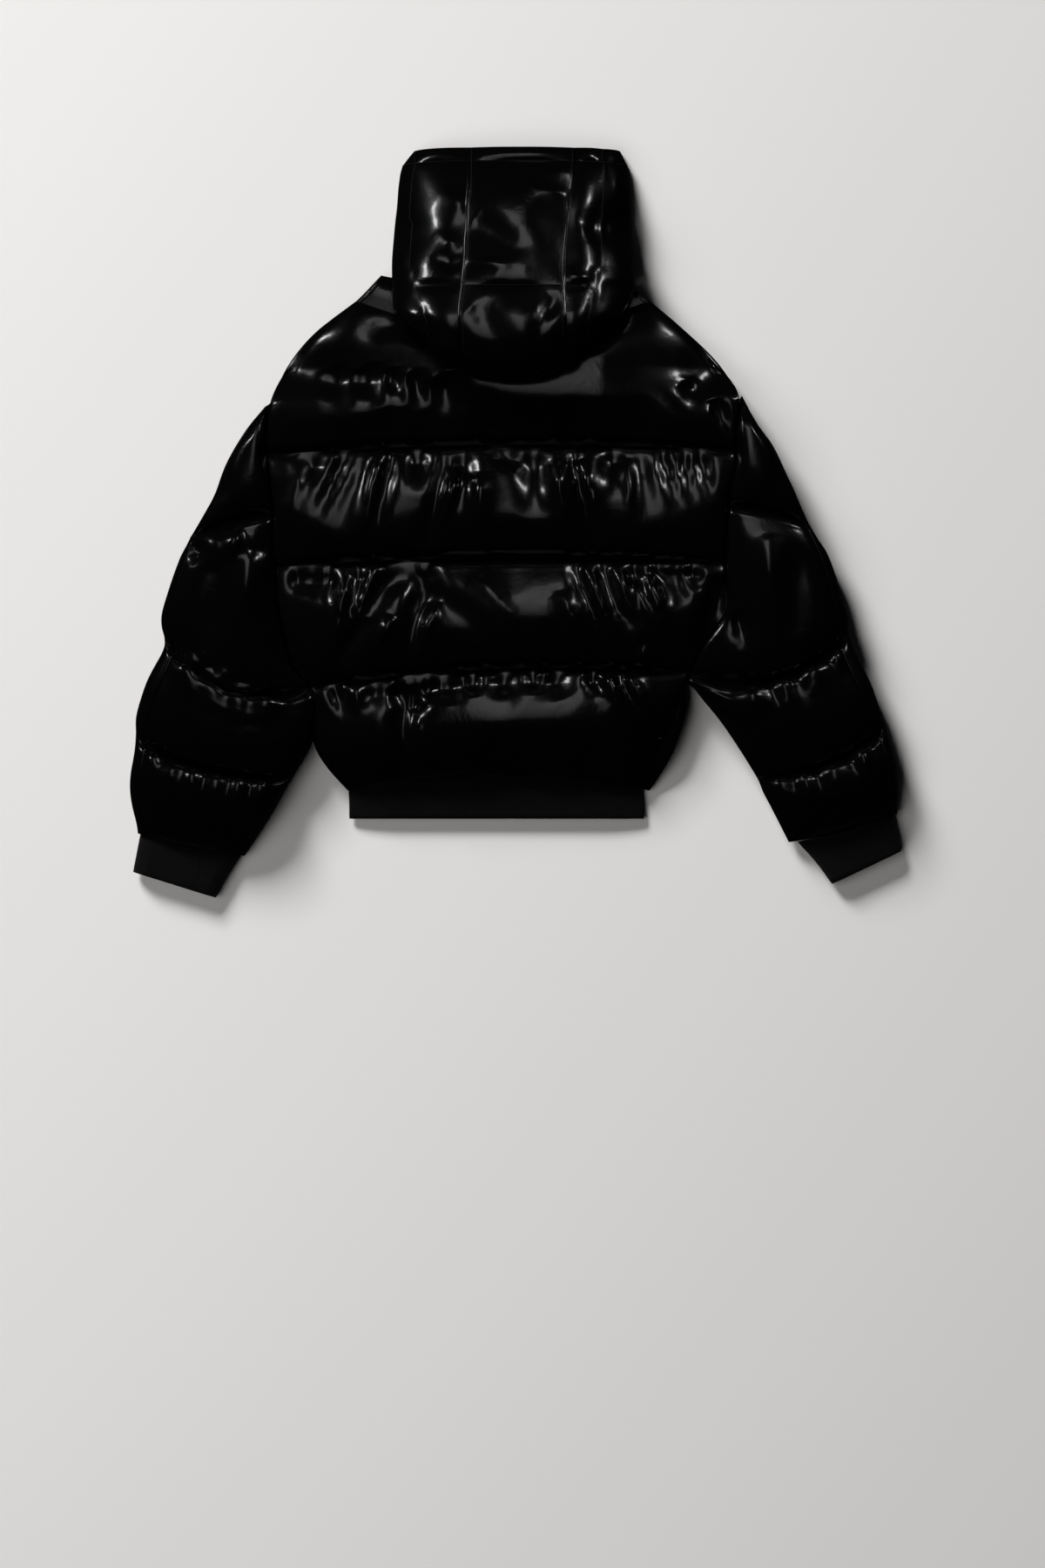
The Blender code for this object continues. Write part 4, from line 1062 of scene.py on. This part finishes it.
for name, sections, table, seed, upper, under in SLEEVES:
    dense = dense_sections(sleeve_rows(sections, name == "sleeve_left"), roundness=SLEEVE_ROUNDNESS)
    plan_panel(name + "_back", dense, ring_points,
               even_angles(*upper, SLEEVE_BACK_COLUMNS, SLEEVE_FLATNESS)[::-1], table, seed=seed)
    plan_panel(name + "_front", dense, ring_points,
               even_angles(*under, SLEEVE_FRONT_COLUMNS, SLEEVE_FLATNESS), seed=seed + 1)
print("panels", list(panels))

# %% The hood's panels
LEAN_STEP = 0.0012                   # way along the hood for each degree of lean
hood_dense = dense_sections([arch._asdict() for arch in HOOD],
                            lambda row: (row["foot_y"], row["lean"] * LEAN_STEP))
seam_left = turn_to(hood_dense["seam_left"], hood_dense["left"], hood_dense["right"])
seam_right = turn_to(hood_dense["seam_right"], hood_dense["left"], hood_dense["right"])


def lengthwise_columns(angles, line):
    """In each row, the column of a hood panel that is nearest to a line on the plan."""
    points = hood_points(hood_dense, angles, np.zeros(angles.shape))
    line = np.array(sorted(line, key=lambda point: point[1]))
    wanted = np.interp(points[..., 1], line[:, 1], line[:, 0])
    return np.argmin(abs(points[..., 0] - wanted)[:, 1:-1], axis=1) + 1


def hood_crown(angles, columns=None):
    """The swell of a panel: one puff across it, or two on either side of a line along it."""
    count = angles.shape[1]
    place = np.broadcast_to(np.arange(count)[None, :] / (count - 1.0), angles.shape)
    if columns is None:
        return HOOD_CROWN * np.sin(np.pi * place)
    middle = (columns / (count - 1.0))[:, None]
    local = np.where(place < middle, place / middle, (1 - place) / (1 - middle))
    return HOOD_CROWN * np.sin(np.pi * np.clip(local, 0, 1))


hood_lines = {}
half_gap = HOOD_SEAM_GAP / 2
ones = np.ones(len(hood_dense["station"]))
for name, start, end, count, line in (
        ("hood_side_left", seam_left + half_gap, math.pi * ones, 19, HOOD_LINE_LEFT),
        ("hood_center", seam_right + half_gap, seam_left - half_gap, 17, None),
        ("hood_side_right", 0 * ones, seam_right - half_gap, 17, HOOD_LINE_RIGHT)):
    angles = hood_angles(hood_dense, start, end, count)
    columns = lengthwise_columns(angles, line) if line else None
    crown = hood_crown(angles, columns)
    hood_lines[name] = columns

    def make(dense, angles, inside, crown=crown):
        swell = crown if not inside and crown.shape == angles.shape else 0.0
        return hood_points(dense, angles, swell, inside)

    if name == "hood_center":
        dense = hood_dense
    else:                            # only the brim's stitching crosses the side panels
        dense = dict(hood_dense, lines=[hood_dense["lines"][0], hood_dense["lines"][-1]])
    plan_panel(name, dense, make, angles, HOOD_FOLDS, seed=60 + count, spare=0.006, pressure=0.3,
               cap=0.003, passes=3, lengthwise=[columns] if columns is not None else ())


settled = settle(panels)

# %% Build
TWICE = {"back", "sleeve_left_back", "sleeve_right_back", "hood_center", "hood_side_left",
         "hood_side_right"}
SHARPEN = 0.35                       # share of each fold's height that is added after settling
CLEAR_OF_LINE = 0.007                # the added folds fade out this near to a quilt line
fine_points = {}
for name in panels:
    points = refine(settled[name], denses[name]["lines"])
    line_rows = [2 * row for row in denses[name]["lines"]]
    if name in TWICE:
        points = refine(points, line_rows)
        line_rows = [2 * row for row in line_rows]
        stations = np.interp(np.linspace(0, 1, len(points)),
                             np.linspace(0, 1, len(denses[name]["station"])), denses[name]["station"])
        away = np.min([abs(stations - stations[row]) for row in line_rows], axis=0)[:, None]
        move = SHARPEN * fold_field(points, folds[name])
        move = move + fold_field(points, SHARP_CREASES.get(name, ()))
        move = move * (1 - np.exp(-((away / CLEAR_OF_LINE) ** 2)))
        points = points + normals(points) * move[..., None]
    points[..., 2] = np.maximum(points[..., 2], 0.0)
    fine_points[name] = (points, line_rows)
    obj = closed_wall(name, points, inners[name], NYLON, line_rows)
    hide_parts(name)

# %% [markdown]
# ## Ribs
# The hem and the wrists end in rib knit, folded double. The knit is a plain tube or band whose
# ridges run from edge to edge, about two and a half millimetres apart.

# %% Ribs
RIB_WALL, RIB_HALF_SLIT = 0.0062, 0.0008
RIB_PITCH, RIB_DEPTH = 0.0026, 0.00028
RIB_ROWS, HEM_COLUMNS, HEM_INNER_COLUMNS, CUFF_COLUMNS = 9, 1400, 60, 481
RibRow = namedtuple("RibRow", "left right bow half")
RIBS = {
    "hem_rib": [
        RibRow((-0.187, 0.0385), (0.178, 0.0385), 0.018, 0.0075),
        RibRow((-0.186, 0.020), (0.180, 0.020), 0.008, 0.0075),
        RibRow((-0.186, 0.001), (0.181, 0.001), 0.000, 0.0070),
    ],
    "cuff_left": [
        RibRow((-0.4454, -0.0158), (-0.3204, -0.0438), -0.004, 0.0105),
        RibRow((-0.450, -0.040), (-0.337, -0.070), -0.002, 0.0115),
        RibRow((-0.455, -0.065), (-0.352, -0.097), 0.000, 0.0110),
    ],
    "cuff_right": [
        RibRow((0.3720, -0.0275), (0.4904, 0.0081), -0.004, 0.0105),
        RibRow((0.396, -0.054), (0.496, -0.018), -0.002, 0.0115),
        RibRow((0.415, -0.080), (0.501, -0.039), 0.000, 0.0110),
    ],
}
CUFF_SEAM = ((-365, -32, -370.5, -60, -376, -100), -0.0010, 0.0012)      # a row as for a fold


def rib_points(rows, start, end, count, inside):
    """Points of a folded rib, with start and end angles for each of its rows. The ends of a tube
    meet."""
    table = {key: np.array([getattr(row, key) for row in rows], float) for key in RibRow._fields}
    even = even_angles(0, math.tau, count, RIB_FLATNESS)[None, :] / math.tau
    angles = start[:, None] + (end - start)[:, None] * even
    across, rise = superellipse(angles)
    left, right = table["left"][:, None, :], table["right"][:, None, :]
    width = np.linalg.norm(right - left, axis=2)
    if inside:
        across = across * (1 - 2 * RIB_WALL / width)
    plan = bowed_plan(left, right, width, across, table["bow"][:, None])
    half = table["half"][:, None]
    lift = RIB_HALF_SLIT * rise if inside else half * np.minimum(1, FLAT_UNDERSIDE * rise)
    z = half + np.where(np.sin(angles) >= 0, 1, -1) * lift
    return np.concatenate([plan, z[..., None]], axis=2)


def denser_rows(rows, count):
    at = np.linspace(0, len(rows) - 1, count)
    numbers = np.arange(len(rows), dtype=float)
    return [RibRow(*values) for values in zip(*(
        spline(numbers, [getattr(row, key) for row in rows], at) for key in RibRow._fields))]


def knit_ridges(points):
    """Move every column in or out, so that ridges run along the rib."""
    middle = points[len(points) // 2]
    length = np.concatenate([[0], np.cumsum(np.linalg.norm(np.diff(middle, axis=0), axis=1))])
    count = round(length[-1] / RIB_PITCH)
    wave = np.cos(math.tau * length / length[-1] * count)
    ends = np.ones(len(points))
    ends[0] = ends[-1] = 0.0
    return points + normals(points) * (RIB_DEPTH * wave[None, :] * ends[:, None])[..., None]


def make_rib(name):
    rows = denser_rows(RIBS[name], RIB_ROWS)
    is_band = name == "hem_rib"      # open at the zip, and a cuff is a tube
    count, inner_count = (HEM_COLUMNS, HEM_INNER_COLUMNS) if is_band else (CUFF_COLUMNS, CUFF_COLUMNS)
    start, end = np.zeros(len(rows)), np.full(len(rows), math.tau)
    if is_band:
        ends = [np.array([getattr(row, key)[0] for row in rows]) for key in ("left", "right")]
        start = -turn_to(ZIP_MIDDLE_X + ZIP_HALF_OPENING, *ends)
        end = math.tau - turn_to(ZIP_MIDDLE_X - ZIP_HALF_OPENING, *ends)
    outer = knit_ridges(rib_points(rows, start, end, count, False))
    inner = rib_points(rows, start, end, inner_count, True)
    if name == "cuff_left":
        outer = outer + normals(outer) * fold_field(outer, [CUFF_SEAM])[..., None]
    outer[..., 2] = np.maximum(outer[..., 2], 0.0)
    if is_band:
        obj = closed_wall(name, outer, inner, RIB_KNIT)
    else:
        bm = bmesh.new()
        loops = np.concatenate([outer, inner[::-1], outer[:1]])
        made = bmesh.ops.create_grid(bm, x_segments=count - 1, y_segments=len(loops) - 1, size=0.5)
        move_grid(made["verts"], loops)
        bmesh.ops.remove_doubles(bm, verts=bm.verts[:], dist=1e-6)
        obj = finish_mesh(name, bm, RIB_KNIT)
    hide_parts(name)


for name in RIBS:
    make_rib(name)

# %% [markdown]
# ## Stitches
# Each quilt line is a row of lock stitches of thick black thread, three millimetres long.

# %% Stitches
STITCH_LENGTH, STITCH_STEP, STITCH_RADIUS = 0.0030, 0.0043, 0.00035
SEAM_STITCH_IN, SEAM_STITCH_UP = 0.0035, 0.0012     # beside the hood's lengthwise seams
FINER = 4                            # a panel that is refined twice has 4 steps for each old one


def add_stitches(bm, route, lift=0.0003):
    """A row of stitches along a route of points."""
    lengths = np.concatenate([[0], np.cumsum(np.linalg.norm(np.diff(route, axis=0), axis=1))])
    for number in range(int(lengths[-1] / STITCH_STEP)):
        begin = (number + 0.2) * STITCH_STEP
        ends = [Vector([np.interp(at, lengths, route[:, axis]) for axis in range(3)])
                for at in (begin, begin + STITCH_LENGTH)]
        direction = ends[1] - ends[0]
        turn = direction.to_track_quat("Z", "Y").to_matrix().to_4x4()
        middle = (ends[0] + ends[1]) / 2 + Vector((0, 0, lift)) + Vector(TO_FRAME)
        bmesh.ops.create_cone(bm, cap_ends=True, segments=6, radius1=STITCH_RADIUS,
                              radius2=STITCH_RADIUS, depth=direction.length,
                              matrix=Matrix.Translation(middle) @ turn)


stitch_bm = bmesh.new()
for name, (points, line_rows) in fine_points.items():
    first, last = (1, len(line_rows) - 1) if not name.startswith("hood") else (1, len(line_rows))
    for row in line_rows[first:last]:
        add_stitches(stitch_bm, points[row])
    if hood_lines.get(name) is not None:
        columns = FINER * hood_lines[name]
        rows = np.arange(len(columns)) * FINER
        add_stitches(stitch_bm, points[rows, columns])
    if name == "hood_center":
        for column, side in ((0, 1), (-1, -1)):
            beside = np.array([SEAM_STITCH_IN * side, 0, SEAM_STITCH_UP])
            add_stitches(stitch_bm, points[:, column] + beside)
stitches = finish_mesh("stitches", stitch_bm, THREAD, smooth=False)

# %% [markdown]
# ## The zip
# It is closed and lies under the jacket, so it is plain: two tapes, moulded teeth, a slider and
# a pull tab, which keep the frame's shapes.

# %% Zip
ZIP_ROUTE = ((0.003, 0.0032), (0.040, 0.0032), (0.064, 0.0040), (0.110, 0.0096), (0.640, 0.0096))
TAPE_EDGES = (0.0032, 0.0135)
TAPE_HALF_THICKNESS = 0.0006
TOOTH_STEP, TOOTH_OFFSET, TOOTH_SIZE = 0.0028, 0.0013, (0.0032, 0.0012, 0.0026)


def make_tape(name, side):
    route = np.array(ZIP_ROUTE)
    across = np.array(sorted(side * edge for edge in TAPE_EDGES))
    outer = np.array([[(ZIP_MIDDLE_X + x, y, z - TAPE_HALF_THICKNESS) for x in across]
                      for y, z in route])
    inner = outer + np.array([0, 0, 2 * TAPE_HALF_THICKNESS])
    obj = closed_wall(name, outer, inner, TAPE)
    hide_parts(name)


make_tape("zip_tape_left", -1)
make_tape("zip_tape_right", 1)


def make_teeth():
    """Two rows of moulded teeth that mesh in the middle."""
    route = np.array(ZIP_ROUTE)
    bm = bmesh.new()
    count = int((route[-1, 0] - route[0, 0]) / TOOTH_STEP)
    for number in range(count):
        y = route[0, 0] + (number + 0.5) * TOOTH_STEP
        z = np.interp(y, route[:, 0], route[:, 1])
        for side in (-1, 1):
            place = Vector((ZIP_MIDDLE_X + TOOTH_OFFSET * side, y + 0.25 * TOOTH_STEP * side, z))
            move = Matrix.Translation(place + Vector(TO_FRAME))
            bmesh.ops.create_cube(bm, size=1.0, matrix=move @ Matrix.Diagonal((*TOOTH_SIZE, 1)))
    obj = finish_mesh("zip_chain", bm, TEETH, smooth=False)
    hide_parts("zip_chain")


make_teeth()
for name in ("zip_slider", "zip_pull_tab"):
    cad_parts[name].data.materials[0] = METAL
